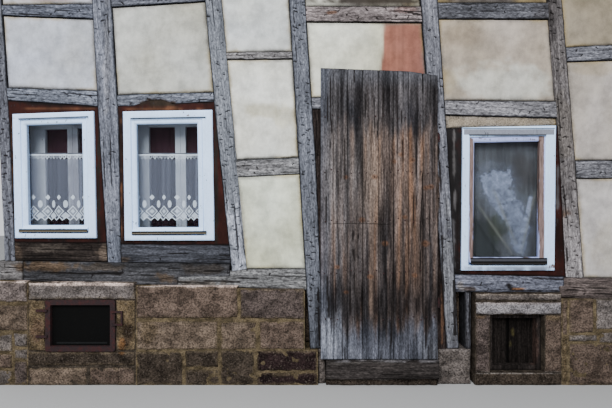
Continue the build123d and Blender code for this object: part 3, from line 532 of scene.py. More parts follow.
def cut_at(bm, faces, axis, place):
    """Cuts the faces by a plane across an axis, and gives back both sides of the cut."""
    made = bmesh.ops.bisect_plane(bm, geom=whole_geometry(faces), plane_co=axis * place, plane_no=axis)
    pieces = [item for item in made["geom"] if isinstance(item, bmesh.types.BMFace)]
    beyond = [face for face in pieces if face.calc_center_median().dot(axis) > place]
    passed = [face for face in pieces if face.calc_center_median().dot(axis) <= place]
    return passed, beyond


def sliced(bm, faces, axis, step):
    """Cuts the faces across an axis about every step."""
    if not faces:
        return []
    reach = [point.co.dot(axis) for face in faces for point in face.verts]
    low, high = min(reach), max(reach)
    count = max(1, round((high - low) / step))
    done = []
    ahead = list(faces)
    for k in range(1, count):
        passed, ahead = cut_at(bm, ahead, axis, low + (high - low) * k / count)
        done += passed
    return done + ahead


def small_faces(bm, across, axis, step, seam, behind=5.0, wide=1.0):
    """Fine cuts in front of a seam, and coarser ones behind it."""
    near, rest = cut_at(bm, bm.faces[:], INWARD, seam)
    for faces, spacing in ((near, step * COARSE), (rest, step * behind * COARSE)):
        sliced(bm, sliced(bm, faces, across, spacing * wide), axis, spacing)


# %% From solids to one object, and its points
def joined(name, parts):
    """One object from several bmeshes, and the range of points that each has in it."""
    total = bmesh.new()
    ranges = []
    for part in parts:
        mesh = bpy.data.meshes.new("part")
        part.to_mesh(mesh)
        part.free()
        start = len(total.verts)
        total.from_mesh(mesh)
        bpy.data.meshes.remove(mesh)
        ranges.append(slice(start, len(total.verts)))
    mesh = bpy.data.meshes.new(name)
    total.to_mesh(mesh)
    total.free()
    piece = bpy.data.objects.new(name, mesh)
    bpy.context.scene.collection.objects.link(piece)
    return piece, ranges


def points_of(piece):
    """The points of a piece as rows of numbers."""
    rows = np.empty(len(piece.data.vertices) * 3)
    piece.data.vertices.foreach_get("co", rows)
    return rows.reshape(-1, 3)


def write_points(piece, points):
    """Moves the points of a piece."""
    piece.data.vertices.foreach_set("co", points.ravel())
    piece.data.update()


LAYER_KINDS = {1: ("FLOAT", "value"), 3: ("FLOAT_VECTOR", "vector"), 4: ("FLOAT_COLOR", "color")}


def write_values(piece, **layers):
    """Writes values, vectors or colours on the points of a piece."""
    for name, values in layers.items():
        width = 1 if values.ndim == 1 else values.shape[1]
        kind, key = LAYER_KINDS[width]
        layer = piece.data.attributes.new(name, kind, "POINT")
        layer.data.foreach_set(key, values.astype(np.float32).ravel())


def with_alpha(colours):
    """The colours of the points with a fourth column of ones."""
    return np.column_stack([colours, np.ones(len(colours))])


# %% What every piece gets at the end
def finish_piece(piece, material, replaced=(), body="wall", sharp=40.0):
    """Material, soft shading with sharp arrises, and what the piece rides on and replaces."""
    piece.data.materials.append(material)
    piece.data.polygons.foreach_set("use_smooth", [True] * len(piece.data.polygons))
    piece.data.set_sharp_from_angle(angle=math.radians(sharp))
    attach(piece, body)
    if replaced:
        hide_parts(*replaced)


# %% [markdown]
# Every irregular thing on the wall is a noise: hollows, ridges, stains. This one works on
# all points of a piece at once. Each corner of a lattice has its own value, and a point
# takes a smooth mix of the eight corners round it. The large odd numbers only stir the bits.
# A Displace modifier could roughen a piece too, but its stains couldn't follow the hollows.

# %% Noise on points
def smooth(share):
    """Eases a share from 0 to 1 in and out."""
    return share * share * (3.0 - 2.0 * share)


def lattice_noise(points, scale, seed=0):
    """Smooth noise from -1 to 1 at each point, with one scale or one for each direction."""
    spots = points * np.array(scale)
    cell = np.floor(spots).astype(np.int64)
    share = smooth(spots - cell)
    total = np.zeros(len(points))
    for corner in itertools.product((0, 1), repeat=3):
        at = cell + corner
        key = at[:, 0] * 73856093 ^ at[:, 1] * 19349663 ^ at[:, 2] * 83492791 ^ seed * 2654435761
        key = (key ^ (key >> 13)) * 1274126177
        value = ((key >> 9) & 0xFFFF) / 32767.5 - 1.0
        total += value * np.prod(np.where(corner, share, 1.0 - share), axis=1)
    return total


def layered_noise(points, scale, layers, seed=0):
    """Noise with finer and weaker noises over it."""
    total = np.zeros(len(points))
    for k in range(layers):
        total += lattice_noise(points, np.array(scale) * 2.1 ** k, seed + 17 * k) * 0.55 ** k
    return total


def step_up(values, low, high):
    """0 below low, 1 above high, smooth between."""
    return smooth(np.clip((values - low) / (high - low), 0.0, 1.0))


def step_down(values, low, high):
    """1 below low, 0 above high, smooth between."""
    return 1.0 - step_up(values, low, high)


# %% Painting points
def over(colours, colour, share):
    """Lays a colour over others, as far as the share at each point says."""
    colours += (np.array(colour)[..., :3] - colours) * np.asarray(share)[:, None]


def painted(points, base, marks=(), seed=0, ragged=0.4):
    """A base with soft marks over it; each is (x, z, reach x, reach z, colour, strength)."""
    colours = np.zeros((len(points), 3)) + np.array(base)[..., :3]
    wander = layered_noise(points, 16.0, 3, seed) * ragged
    for x, z, reach_x, reach_z, colour, strength in marks:
        away = np.hypot((points[:, 0] - x) / reach_x, (points[:, 2] - z) / reach_z) + wander
        over(colours, colour, strength * step_down(away, 0.55, 1.1))
    return colours


# %% Distances on the wall
def line_distance(points, start, end):
    """How far each point is from a line on the wall, and how far along the line it is."""
    spots, run = points[:, [0, 2]] - np.array(start), np.array(end) - np.array(start)
    share = np.clip(spots @ run / (run @ run), 0.0, 1.0)
    return np.linalg.norm(spots - share[:, None] * run, axis=1), share


def side_planes(bm):
    """The planes that bound a solid seen from the street, without those of its mortises."""
    corners = np.array([vert.co for vert in bm.verts])
    planes = []
    for face in bm.faces:
        normal, middle = np.array(face.normal), np.array(face.calc_center_median())
        if abs(normal[1]) < 0.35 and ((corners - middle) @ normal).max() < 0.004:
            planes.append((normal, middle))
    return planes


def side_distance(points, planes):
    """How far each point is from the nearest of the planes."""
    if not planes:
        return np.full(len(points), 1.0)
    away = [(middle - points) @ normal for normal, middle in planes]
    return np.maximum(np.min(away, axis=0), 0.0)


# %% [markdown]
# Seen close, an old timber is not flat. The axe left long hollows, the soft fibres have
# washed out between ridges, checks run along the grain, and short slanting nicks once held
# a coat of plaster. A timber's own directions, along and across the grain, come from its
# longest edge. The scars are cut into the points and written on them for the material.
# They could be sculpted one by one. Drawing lots with a fixed seed is quicker, and gives the
# same scars each time.

# %% Grain and scars
TIMBER_STEP = 0.0065
FINE_ZONE = 0.03
SCAR_DEPTH = 0.006
NICK_LENGTH = 0.034
NICK_WIDTH = 0.0065
CHECK_WIDTH = 0.0022
CRACK_EDGE = 0.004


def grain_axis(bm):
    """The direction of the longest edge of a solid, upwards or to the right."""
    longest = max(bm.edges, key=lambda edge: edge.calc_length())
    axis = (longest.verts[1].co - longest.verts[0].co).normalized()
    axis.y = 0.0
    axis.normalize()
    return -axis if axis.dot(RIGHT + UP * 2.0) < 0 else axis


def scars(along, across, kind, draw):
    """How deep a timber is split or nicked at each of its points, from 0 to 1."""
    low, high = along.min(), along.max()
    left, right = across.min(), across.max()
    length, width = high - low, right - left
    points = np.column_stack([along, across, np.zeros(len(along))])
    wander = 0.004 * lattice_noise(points, (7.0, 0.1, 1.0), 3)
    wander += 0.0015 * lattice_noise(points, (40.0, 1.0, 1.0), 4)
    deepest = np.zeros(len(along))
    for _ in range(round(kind["checks"] * length)):
        start = draw.uniform(low, high)
        reach = draw.uniform(0.06, 0.30)
        line = draw.uniform(left + 0.1 * width, right - 0.1 * width)
        half = draw.uniform(0.4, 1.1) * CHECK_WIDTH
        side = np.abs(across - line - wander)
        taper = step_down(np.abs(along - start), reach * 0.5, reach)
        depth = taper * step_down(side, half, half + 0.0042) * draw.uniform(0.35, 1.0)
        deepest = np.maximum(deepest, depth)
    for k in range(round(kind["nicks"] * length)):
        middle = low + (k + draw.random()) / kind["nicks"]
        line = draw.uniform(left + 0.15 * width, right - 0.15 * width)
        turn = math.radians(draw.choice((1, -1, -1)) * draw.uniform(*kind.get("tilt", (3, 30))) + 90)
        size = draw.uniform(0.6, 1.15)
        run = (along - middle) * math.cos(turn) + (across - line) * math.sin(turn)
        off = (across - line) * math.cos(turn) - (along - middle) * math.sin(turn)
        body = step_down(np.abs(run), NICK_LENGTH * 0.3 * size, NICK_LENGTH * 0.55 * size)
        body *= step_down(np.abs(off), NICK_WIDTH * 0.3, NICK_WIDTH)
        deepest = np.maximum(deepest, body * draw.uniform(0.2, 0.95))
    return deepest


# %% Weathering one solid
def weathered_timber(bm, kind, draw):
    """Cuts one solid into small faces, and gives back a function that weathers its points."""
    axis = grain_axis(bm)
    across_way = axis.cross(INWARD).normalized()
    planes = side_planes(bm)
    low, _ = box_of(bm)
    small_faces(bm, across_way, axis, kind.get("step", TIMBER_STEP), low.y + FINE_ZONE, wide=1.2)
    shift = draw.uniform(5.0, 60.0)
    seed = draw.randrange(1000)

    def weather(points):
        along, across, depth = points @ np.array(axis), points @ np.array(across_way), points[:, 1]
        grain = np.column_stack([along + shift, across + 0.3 * shift, depth])
        front, back = depth.min(), depth.max()
        street = step_down(depth, front + 0.004, front + 0.022)
        room = step_up(depth, back - 0.02, back - 0.004)
        hollow = 0.5 + 0.25 * layered_noise(grain, (3.0, 11.0, 11.0), 2, seed)
        ridge = layered_noise(grain, (5.0, 85.0, 30.0), 2, seed + 5)
        edge = side_distance(points, planes)
        worn = step_down(edge, 0.0, 0.014) * (0.5 + 0.5 * lattice_noise(grain, (14.0, 3.0, 3.0), seed + 9))
        scar = scars(along, across, kind, draw) * (street > 0.4)
        inward = kind["waves"] * hollow + 0.0009 * ridge + kind.get("wear", 0.005) * worn + SCAR_DEPTH * scar
        moved = points.copy()
        moved[:, 1] += street * np.maximum(inward, 0.0) - room * np.maximum(kind["waves"] * hollow, 0.0)
        side = (across - across.mean()) / max(1e-6, np.abs(across - across.mean()).max())
        ends = np.minimum(along - along.min(), along.max() - along)
        sway = lattice_noise(grain, (9.0, 2.0, 2.0), seed + 21)
        sway += 0.6 * lattice_noise(grain, (30.0, 2.0, 2.0), seed + 22)
        sway *= kind.get("sway", 0.0025) * side * street * step_up(ends, 0.0, 0.03)
        moved += np.array(across_way) * sway[:, None]
        return moved, grain, scar, edge

    return weather


# %% Dressing a timber
def facing(plane, ways):
    """Whether a plane looks one of the ways."""
    return max(plane[0] @ np.array(way) for way in ways) >= 0.7


def timber(node, tints, kind, material, seed, marks=(), body="wall", cracks=(), free=()):
    """Dresses a timber; cracks are (x, z, x, z, half width), sides facing a free way get no painted shade."""
    draw = random.Random(seed)
    solids = solids_of(node)
    outlines = [side_planes(bm) for bm in solids]
    weathers = [weathered_timber(bm, kind, draw) for bm in solids]
    piece, ranges = joined(node + "_weathered", solids)
    points = points_of(piece)
    moved, grain = points.copy(), points.copy()
    scar, colours = np.zeros(len(points)), points.copy()
    for k, (rows, weather) in enumerate(zip(ranges, weathers)):
        moved[rows], grain[rows], scar[rows], edge = weather(points[rows])
        colours[rows] = painted(points[rows], tints[k % len(tints)], marks, seed + k)
        # Painted shade: each solid darkens near its sides, where it meets its neighbours.
        if free:
            edge = side_distance(points[rows], [plane for plane in outlines[k] if not facing(plane, free)])
        colours[rows] *= (1.0 - step_down(edge, 0.003, 0.011) * kind.get("edge_shade", 0.3))[:, None]
    for x0, z0, x1, z1, half in cracks:
        off, _ = line_distance(points, (x0, z0), (x1, z1))
        off += 0.004 * lattice_noise(points, (14.0, 0.1, 14.0), seed + 50)
        scar = np.maximum(scar, step_down(off, half, half + CRACK_EDGE) * (points[:, 1] < FINE_ZONE))
    write_points(piece, moved)
    write_values(piece, grain=grain, scar=scar, tint=with_alpha(colours))
    finish_piece(piece, material, (node,), body)
    print(node, len(ranges), "solids", len(points), "points")


# %% [markdown]
# The posts are silver grey, the two on the right browner. The colour marks are soft spots
# in metres along the wall and up it: soot, a reddish stain, and orange heartwood beside the
# door, where a strip has split off. A mark could be a texture of its own, but as a row of
# numbers it stays where it is when the timber is cut finer.

# %% Posts
# In these kinds, the last value is the strength of the painted shade along a timber's sides.
HACKED = {"waves": 0.006, "nicks": 56, "checks": 3, "edge_shade": 0.93}
CALM = {"waves": 0.005, "nicks": 24, "checks": 3, "edge_shade": 0.93}
ORANGE = rgb(118, 84, 60)
SOOT = rgb(50, 46, 46)
PALE = rgb(150, 150, 154)
LEFT_WAY, RIGHT_WAY, UP_WAY = (-1.0, 0.0, 0.0), (1.0, 0.0, 0.0), (0.0, 0.0, 1.0)

timber("post_1", [rgb(114, 116, 126)], HACKED, post_wood, 1, free=(LEFT_WAY,))
timber("post_2", [rgb(124, 127, 138)], CALM, post_wood, 2, [
    (-1.62, 2.35, 0.03, 0.5, PALE, 0.4), (-1.56, 0.98, 0.06, 0.2, rgb(92, 98, 112), 0.6)])
timber("post_3", [rgb(132, 136, 145)], HACKED, post_wood, 3, [
    (-0.66, 0.87, 0.05, 0.03, SOOT, 0.4), (-0.64, 1.08, 0.14, 0.36, rgb(172, 175, 181), 0.9)])
timber("post_4", [rgb(120, 124, 133)], HACKED, post_wood, 4, [
    (-0.1, 0.35, 0.1, 0.2, rgb(84, 88, 98), 0.5), (-0.075, 0.48, 0.035, 0.3, rgb(58, 60, 66), 0.85)],
       cracks=((-0.075, 0.7, -0.065, 0.28, 0.004),))
timber("post_5", [rgb(126, 127, 135)], CALM, post_wood, 5, [
    (0.885, 0.75, 0.075, 0.6, rgb(141, 142, 147), 0.85), (0.80, 0.62, 0.03, 0.42, ORANGE, 0.6),
    (0.93, 0.42, 0.02, 0.2, SOOT, 0.5), (0.792, 1.25, 0.022, 0.5, rgb(84, 64, 48), 0.85),
    (0.74, 2.1, 0.1, 0.12, SOOT, 0.45), (0.885, 1.10, 0.03, 0.04, rgb(92, 92, 104), 0.7)],
       cracks=((0.938, 0.95, 0.957, 0.30, 0.004), (0.83, 1.08, 0.845, 0.30, 0.005),
               (0.80, 1.75, 0.83, 1.35, 0.003), (0.915, 0.75, 0.925, 0.36, 0.004)))
timber("post_6", [rgb(118, 113, 113)], HACKED, post_wood, 6, [
    (1.61, 2.72, 0.05, 0.3, SOOT, 0.75), (1.74, 1.23, 0.08, 0.07, rgb(128, 98, 76), 0.6),
    (1.72, 1.9, 0.1, 0.3, rgb(124, 116, 108), 0.4), (1.72, 0.84, 0.03, 0.08, SOOT, 0.8),
    (1.80, 1.05, 0.12, 0.4, rgb(159, 155, 156), 0.9)])
timber("post_7", [rgb(132, 129, 128)], HACKED, post_wood, 7, free=(RIGHT_WAY,))

# %% [markdown]
# The rails between the posts are younger and greyer, and the plate under the upper floor is
# like them. The planks under the windows are nearly black with rain, and so are the sill
# beams, except for a pale block at the left end. The waney lintel shows dark brown bark.
# All are dressed in the same way, and only the kind of wear and the marks tell them apart.

# %% Rails, lintels, planks and sills
# Here too the last value, where a kind has one, is the strength of the painted shade along the sides.
RAIL = {"waves": 0.005, "tilt": (28, 52), "nicks": 22, "checks": 5, "edge_shade": 0.93}
PLANK = {"waves": 0.003, "nicks": 3, "checks": 8, "sway": 0.0015, "edge_shade": 0.7}
SILL = {"waves": 0.009, "nicks": 8, "checks": 10, "wear": 0.009, "edge_shade": 0.7}
TREAD = {"waves": 0.002, "nicks": 0, "checks": 1, "step": 0.009}

timber("wall_plate", [rgb(116, 117, 126)], RAIL, rail_wood, 11, free=(LEFT_WAY, RIGHT_WAY, UP_WAY))
timber("top_rails", [rgb(102, 107, 120), rgb(110, 113, 124), rgb(140, 131, 131), rgb(96, 97, 105)],
       RAIL, rail_wood, 12, [
    (0.55, 2.735, 0.13, 0.03, rgb(138, 108, 100), 0.5), (0.02, 2.715, 0.05, 0.02, rgb(110, 74, 50), 0.8),
    (-0.02, 2.742, 0.05, 0.012, SOOT, 0.8), (1.6, 2.72, 0.08, 0.08, SOOT, 0.5)],
       cracks=((0.56, 2.722, 0.665, 2.698, 0.005),))
timber("lintels", [rgb(131, 136, 148), rgb(123, 127, 138), rgb(124, 125, 132), rgb(138, 137, 142)],
       RAIL, rail_wood, 13, [
    (-1.27, 2.045, 0.13, 0.045, rgb(58, 44, 32), 0.95), (-0.87, 2.03, 0.06, 0.03, SOOT, 0.6)])
timber("cross_rails", [rgb(158, 156, 157), rgb(150, 150, 152), rgb(130, 131, 139), rgb(130, 130, 136)],
       RAIL, rail_wood, 14, [(-0.45, 1.58, 0.3, 0.05, rgb(112, 110, 112), 0.5)])
timber("window_sill_planks", [rgb(46, 39, 36), rgb(70, 72, 80)], PLANK, dark_wood, 15, [
    (-2.28, 0.97, 0.07, 0.07, rgb(88, 74, 62), 0.8), (-1.64, 0.96, 0.07, 0.07, rgb(104, 90, 78), 0.8),
    (-2.05, 0.99, 0.16, 0.03, rgb(92, 84, 76), 0.6), (-1.5, 0.9, 0.05, 0.03, rgb(100, 84, 66), 0.6)])
timber("sill_beam_left", [rgb(116, 113, 113), rgb(76, 76, 80)], SILL, dark_wood, 16, [
    (-2.05, 0.86, 0.26, 0.045, rgb(96, 78, 60), 0.9), (-1.68, 0.85, 0.22, 0.03, rgb(84, 74, 64), 0.7),
    (-1.19, 0.775, 0.09, 0.045, rgb(106, 90, 76), 0.9), (-0.9, 0.84, 0.18, 0.04, rgb(60, 54, 50), 0.8)],
       cracks=((-2.08, 0.812, -1.75, 0.803, 0.003), (-1.75, 0.803, -1.50, 0.812, 0.003),
               (-2.4, 0.822, -2.26, 0.82, 0.002)), free=(LEFT_WAY,))
timber("sill_beam_middle", [rgb(132, 132, 133)], SILL, rail_wood, 17, [
    (-0.9, 0.73, 0.2, 0.03, rgb(86, 76, 64), 0.7)])
timber("sill_beam_right", [rgb(118, 106, 102)], SILL, dark_wood, 18, [
    (1.76, 0.67, 0.08, 0.07, rgb(52, 44, 42), 0.7), (2.1, 0.7, 0.4, 0.03, rgb(116, 106, 100), 0.5)],
       free=(RIGHT_WAY,))
timber("window_beam", [rgb(120, 123, 135)], SILL, rail_wood, 19, [
    (1.325, 0.71, 0.035, 0.04, rgb(30, 27, 27), 0.98), (1.40, 0.692, 0.07, 0.009, rgb(140, 100, 62), 0.9),
    (0.96, 0.72, 0.04, 0.05, rgb(148, 142, 136), 0.6), (1.04, 0.69, 0.04, 0.02, rgb(70, 56, 44), 0.8)])
timber("short_stud", [rgb(98, 98, 106)], PLANK, rail_wood, 20)
timber("door_jambs", [rgb(46, 38, 36), rgb(44, 36, 34)], PLANK, dark_wood, 21, [
    (0.83, 1.75, 0.012, 0.5, rgb(88, 84, 84), 0.8), (0.83, 0.5, 0.012, 0.3, ORANGE, 0.5)])
timber("cellar_frame", [rgb(44, 38, 36)], PLANK, dark_wood, 22, [
    (1.52, 0.3, 0.03, 0.2, rgb(78, 60, 54), 0.9)])
timber("cellar_boards", [rgb(30, 25, 23)], PLANK, dark_wood, 23, [
    (1.385, 0.36, 0.014, 0.03, rgb(92, 84, 50), 0.8), (1.37, 0.26, 0.012, 0.03, rgb(84, 78, 46), 0.7)])
timber("threshold", [rgb(62, 57, 55)], TREAD, dark_wood, 24, [
    # The pale line along the threshold's top arris is a painted highlight.
    (0.44, 0.1905, 0.46, 0.0065, rgb(158, 155, 158), 0.95),
    (0.2, 0.172, 0.4, 0.008, rgb(84, 79, 76), 0.7)])

# %% [markdown]
# Each plaster panel was floated by hand against the timbers, so it bulges a little and its
# edge is ragged, dusty and stained ochre. One panel by the door has been brushed with pink.
# The narrow strip over the right window is coarse ochre mortar that was never floated. The
# bulge is in the points rather than in a bump, so the light rakes over it from every side.

# %% Plaster panels
PLASTER_STEP = 0.015
FLOAT_WAVE = 0.0035
BACK_WAVE = 0.003
OCHRE = rgb(176, 164, 126)
DUST = rgb(150, 146, 140)
PINK = rgb(173, 124, 111)
# Soot and painted shade on the plaster just over the top rails.
SHADE_AND_SOOT_ABOVE_RAIL = rgb(44, 30, 27)


def plaster(node, tints, seed, marks=(), coarse_solids=(), wash=None):
    """Dresses the panels of one bay; a wash is a stain: (from x, full at x, below z, tint)."""
    solids = solids_of(node)
    outlines = []
    for bm in solids:
        outlines.append([p for p in side_planes(bm) if abs(p[1][1] - TIMBER_BACK / 2) < TIMBER_BACK / 4])
        small_faces(bm, RIGHT, UP, PLASTER_STEP, FINE_ZONE)
    piece, ranges = joined(node + "_floated", solids)
    points = points_of(piece)
    colours, coarse = points.copy(), np.zeros(len(points))
    for k, rows in enumerate(ranges):
        here, tint = points[rows], colours[rows]
        edge = side_distance(here, outlines[k])
        street = step_down(here[:, 1], 0.01, 0.03)
        room = step_up(here[:, 1], 0.12, 0.14)
        wave = np.clip(0.5 + 0.5 * layered_noise(here, 5.0, 3, seed + k), 0, 1.5)
        rough = layered_noise(here, 45.0, 2, seed + k + 7)
        gritty = 1.0 if k in coarse_solids else 0.0
        here[:, 1] += street * (FLOAT_WAVE * wave + (0.0007 + 0.004 * gritty) * (rough + 1.2))
        here[:, 1] -= room * BACK_WAVE * wave
        tint[:] = painted(here, tints[k], (), seed + k, 0.25)
        over(tint, painted(here, tints[k], marks, seed + k, 0.25), street)
        if wash:
            start, full, below, wash_tint = wash
            streak = layered_noise(here * np.array((1.0, 0.0, 1.0)), (42.0, 1.0, 2.5), 3, seed + 70)
            spread = here[:, 0] + 0.012 * streak + 0.1 * np.clip(2.5 - here[:, 2], 0.0, 0.25)
            share = 0.95 * step_up(spread, start, full) * street * (here[:, 2] < below)
            over(tint, np.array(wash_tint[:3]) * (1.0 + 0.22 * streak)[:, None], share)
        stain = step_down(edge + 0.009 * layered_noise(here, 22.0, 3, seed + k + 3), 0.004, 0.03)
        patch = step_up(layered_noise(here, 4.0, 2, seed + 40), -0.2, 0.5)[:, None]
        over(tint, np.array(OCHRE[:3]) * patch + np.array(DUST[:3]) * (1.0 - patch), stain * 0.62)
        tint *= 1.0 + layered_noise(here, 2.2, 3, seed + 60)[:, None] * np.array((0.12, 0.14, 0.21))
        coarse[rows] = gritty + 0.35 * step_down(edge, 0.005, 0.03)
    write_points(piece, points)
    write_values(piece, coarse=coarse, tint=with_alpha(colours))
    finish_piece(piece, lime, (node,))
    print(node, len(points), "points")


# In bay 1 the dark line just over the rail is painted shade.
plaster("infill_bay_1", [rgb(189, 191, 196)] * 2, 31, [
    (-2.0, 2.783, 0.35, 0.006, rgb(60, 50, 50), 0.9), (-2.0, 2.80, 0.35, 0.008, rgb(176, 160, 158), 0.7)])
plaster("infill_bay_2", [rgb(188, 188, 184)] * 2, 32)
plaster("infill_bay_3", [rgb(196, 197, 196), rgb(204, 204, 201), rgb(201, 202, 195)], 33, [
    (-0.48, 2.0, 0.16, 0.07, rgb(188, 185, 172), 0.7), (-0.33, 1.95, 0.08, 0.1, rgb(192, 189, 177), 0.6)])
plaster("infill_bay_4", [rgb(203, 203, 198)] * 2, 34, [
    (0.35, 2.80, 0.6, 0.045, SHADE_AND_SOOT_ABOVE_RAIL, 0.95)], wash=(0.392, 0.416, 2.66, PINK))
plaster("infill_bay_5", [rgb(185, 179, 169), rgb(183, 178, 168), rgb(171, 163, 149)], 35, [
    (1.2, 2.815, 0.6, 0.04, SHADE_AND_SOOT_ABOVE_RAIL, 0.95), (1.3, 2.19, 0.42, 0.17, rgb(195, 194, 189), 0.9),
    (1.0, 2.55, 0.2, 0.1, rgb(172, 163, 151), 0.6), (0.85, 2.2, 0.1, 0.1, OCHRE, 0.4)], coarse_solids=(2,))
plaster("infill_bay_6", [rgb(175, 168, 157), rgb(187, 183, 179), rgb(191, 188, 185)], 36, [
    (2.1, 1.0, 0.2, 0.2, rgb(186, 182, 172), 0.5), (1.95, 2.3, 0.2, 0.05, OCHRE, 0.3)])

# %% [markdown]
# In the CAD model the plinth is a few large blocks. The real one is laid from single stones,
# each one rough and rounded at its arrises, with deep mortar joints. Joints could be grooves
# in the blocks, but stones of their own cast real shadows. They are cubes cut into small
# faces. Behind the joints lies a core, a copy of the CAD blocks drawn in.

# %% One stone
STONE_STEP = 0.0095
STONE_DEPTH = 0.16
SHOWN_DEPTH = 0.05
INWARD_STEP = 0.012
JOINT = 0.006
CORE_INSET = 0.015
CORE_STEP = 0.03
ARRIS = 0.02
SMEARED = rgb(98, 86, 66)
LIT_ARRIS = rgb(186, 178, 172)
STONE_TINTS = {
    "light": rgb(142, 138, 140),
    "pale": rgb(120, 112, 109),
    "pink": rgb(116, 105, 101),
    "buff": rgb(104, 89, 76),
    "brown": rgb(94, 79, 69),
    "umber": rgb(58, 49, 41),
    "maroon": rgb(37, 26, 26),
    "purple": rgb(80, 69, 65),
    "ochre": rgb(100, 85, 62),
    "grey": rgb(100, 92, 88),
}


def stone_solid(x0, x1, z0, z1, front, back, fine_front):
    """A block cut into small faces at the end that shows."""
    bm = bmesh.new()
    bmesh.ops.create_cube(bm, size=1.0)
    middle = Vector(((x0 + x1) / 2, (front + back) / 2, (z0 + z1) / 2))
    bmesh.ops.scale(bm, verts=bm.verts, vec=(x1 - x0 - JOINT, back - front, z1 - z0 - JOINT))
    bmesh.ops.translate(bm, verts=bm.verts, vec=middle)
    seam = front + SHOWN_DEPTH if fine_front else back - SHOWN_DEPTH
    step = STONE_STEP * COARSE * (1.0 if fine_front else 3.0)
    shown = cut_at(bm, bm.faces[:], INWARD, seam)[0 if fine_front else 1]
    faces = sliced(bm, sliced(bm, shown, RIGHT, step), UP, step)
    sliced(bm, faces, INWARD, INWARD_STEP * COARSE)
    return bm


def rim_distance(points, x0, x1, z0, z1):
    """How far each point is from the outline of a stone."""
    return np.minimum.reduce([points[:, 0] - x0, x1 - points[:, 0], points[:, 2] - z0, z1 - points[:, 2]])


def rough_block(points, x0, x1, z0, z1, face, sense, rough, seed):
    """Rounds and roughens the end of a stone that shows; sense is 1 for the street side."""
    near = step_down(np.abs(points[:, 1] - face), 0.0, SHOWN_DEPTH)
    rim = step_down(rim_distance(points, x0, x1, z0, z1), 0.0, ARRIS)
    lump = layered_noise(points, 13.0, 3, seed)
    chip = layered_noise(points, 42.0, 2, seed + 3)
    inward = rough * (0.6 + 0.5 * lump) + 0.0022 * (chip + 1.0) + 0.006 * rim ** 2
    moved = points.copy()
    moved[:, 1] += sense * near * np.maximum(inward, 0.0)
    pull = np.clip(near * rim * (0.004 + 0.005 * layered_noise(points, 18.0, 2, seed + 8)), 0, 0.012)
    for column, low, high in ((0, x0, x1), (2, z0, z1)):
        border = np.minimum(points[:, column] - low, high - points[:, column]) < 0.012
        away = np.sign((low + high) / 2 - points[:, column])
        moved[:, column] += away * pull * border * (column == 0 or z0 > 0.001)
    return moved


# %% Stonework, and the mortar behind it
def stonework(name, stones, replaced, seed, marks=(), smear=0.6):
    """One piece made of single stones; each is (x0, x1, z0, z1, tint, roughness)."""
    draw = random.Random(seed)
    solids = []
    for x0, x1, z0, z1, _, _ in stones:
        solids.append(stone_solid(x0, x1, z0, z1, STONE_FACE, STONE_FACE + STONE_DEPTH, True))
        solids.append(stone_solid(x0, x1, z0, z1, MASONRY_BACK - STONE_DEPTH, MASONRY_BACK, False))
    piece, ranges = joined(name, solids)
    points = points_of(piece)
    colours = points.copy()
    for k, rows in enumerate(ranges):
        *outline, tint, rough = stones[k // 2]
        face, sense = (STONE_FACE, 1.0) if k % 2 == 0 else (MASONRY_BACK, -1.0)
        here, shade = points[rows], colours[rows]
        edge = rim_distance(here, *outline)
        shade[:] = painted(here, np.array(STONE_TINTS[tint]) * draw.uniform(0.93, 1.07))
        ragged = edge + 0.011 * layered_noise(here, 26.0, 3, seed + 200 + k)
        over(shade, SMEARED, step_down(ragged, 0.002, 0.024) * smear)
        shade[:] = painted(here, shade, marks if k % 2 == 0 else (), seed + k)
        # Painted shade: each stone darker within a centimetre of its rim, in the joints, less where mortar is
        # smeared over it.
        shade *= (1.0 - step_down(edge, 0.0, 0.01) * 0.35 * (1.0 - 0.6 * smear))[:, None]
        points[rows] = rough_block(here, *outline, face, sense, rough, seed + 31 * k)
    write_points(piece, points)
    write_values(piece, scar=np.zeros(len(points)), tint=with_alpha(colours))
    finish_piece(piece, sandstone, replaced, sharp=50.0)
    print(name, len(stones), "stones", len(points), "points")


def mortar_core(name, nodes, tint):
    """The mortar behind the joints: the CAD blocks, drawn in and uneven."""
    solids = []
    for node in nodes:
        solids += solids_of(node)
    for bm in solids:
        low, high = box_of(bm)
        for vert in bm.verts:
            vert.co.y += CORE_INSET if vert.co.y < (low.y + high.y) / 2 else -CORE_INSET
        sliced(bm, sliced(bm, bm.faces[:], RIGHT, CORE_STEP * COARSE), UP, CORE_STEP * COARSE)
    piece, _ = joined(name, solids)
    points = points_of(piece)
    wave = layered_noise(points, 25.0, 2, 5) * 0.003
    points[:, 1] += np.where(points[:, 1] < 0.1, -wave, wave)
    colours = painted(points, tint)
    colours *= (1.0 + 0.25 * layered_noise(points, 5.0, 2, 9))[:, None]
    write_points(piece, points)
    write_values(piece, scar=np.zeros(len(points)), tint=with_alpha(np.clip(colours, 0, 1)))
    finish_piece(piece, mortar)


# %% The plinth, stone by stone
def outlines_of(node):
    """Left, right, low and high of each solid of a CAD piece."""
    return [(low.x, high.x, low.z, high.z) for low, high in boxes_of(node)]


left_x0, left_x1, _, left_z1 = outlines_of("plinth_left")[0]
middle_x0, middle_x1, middle_z0, middle_z1 = outlines_of("plinth_middle")[0]
base_x0, base_x1, base_z0, base_z1 = outlines_of("base_course")[0]
right_x0, right_x1, _, right_z1 = outlines_of("plinth_right")[0]

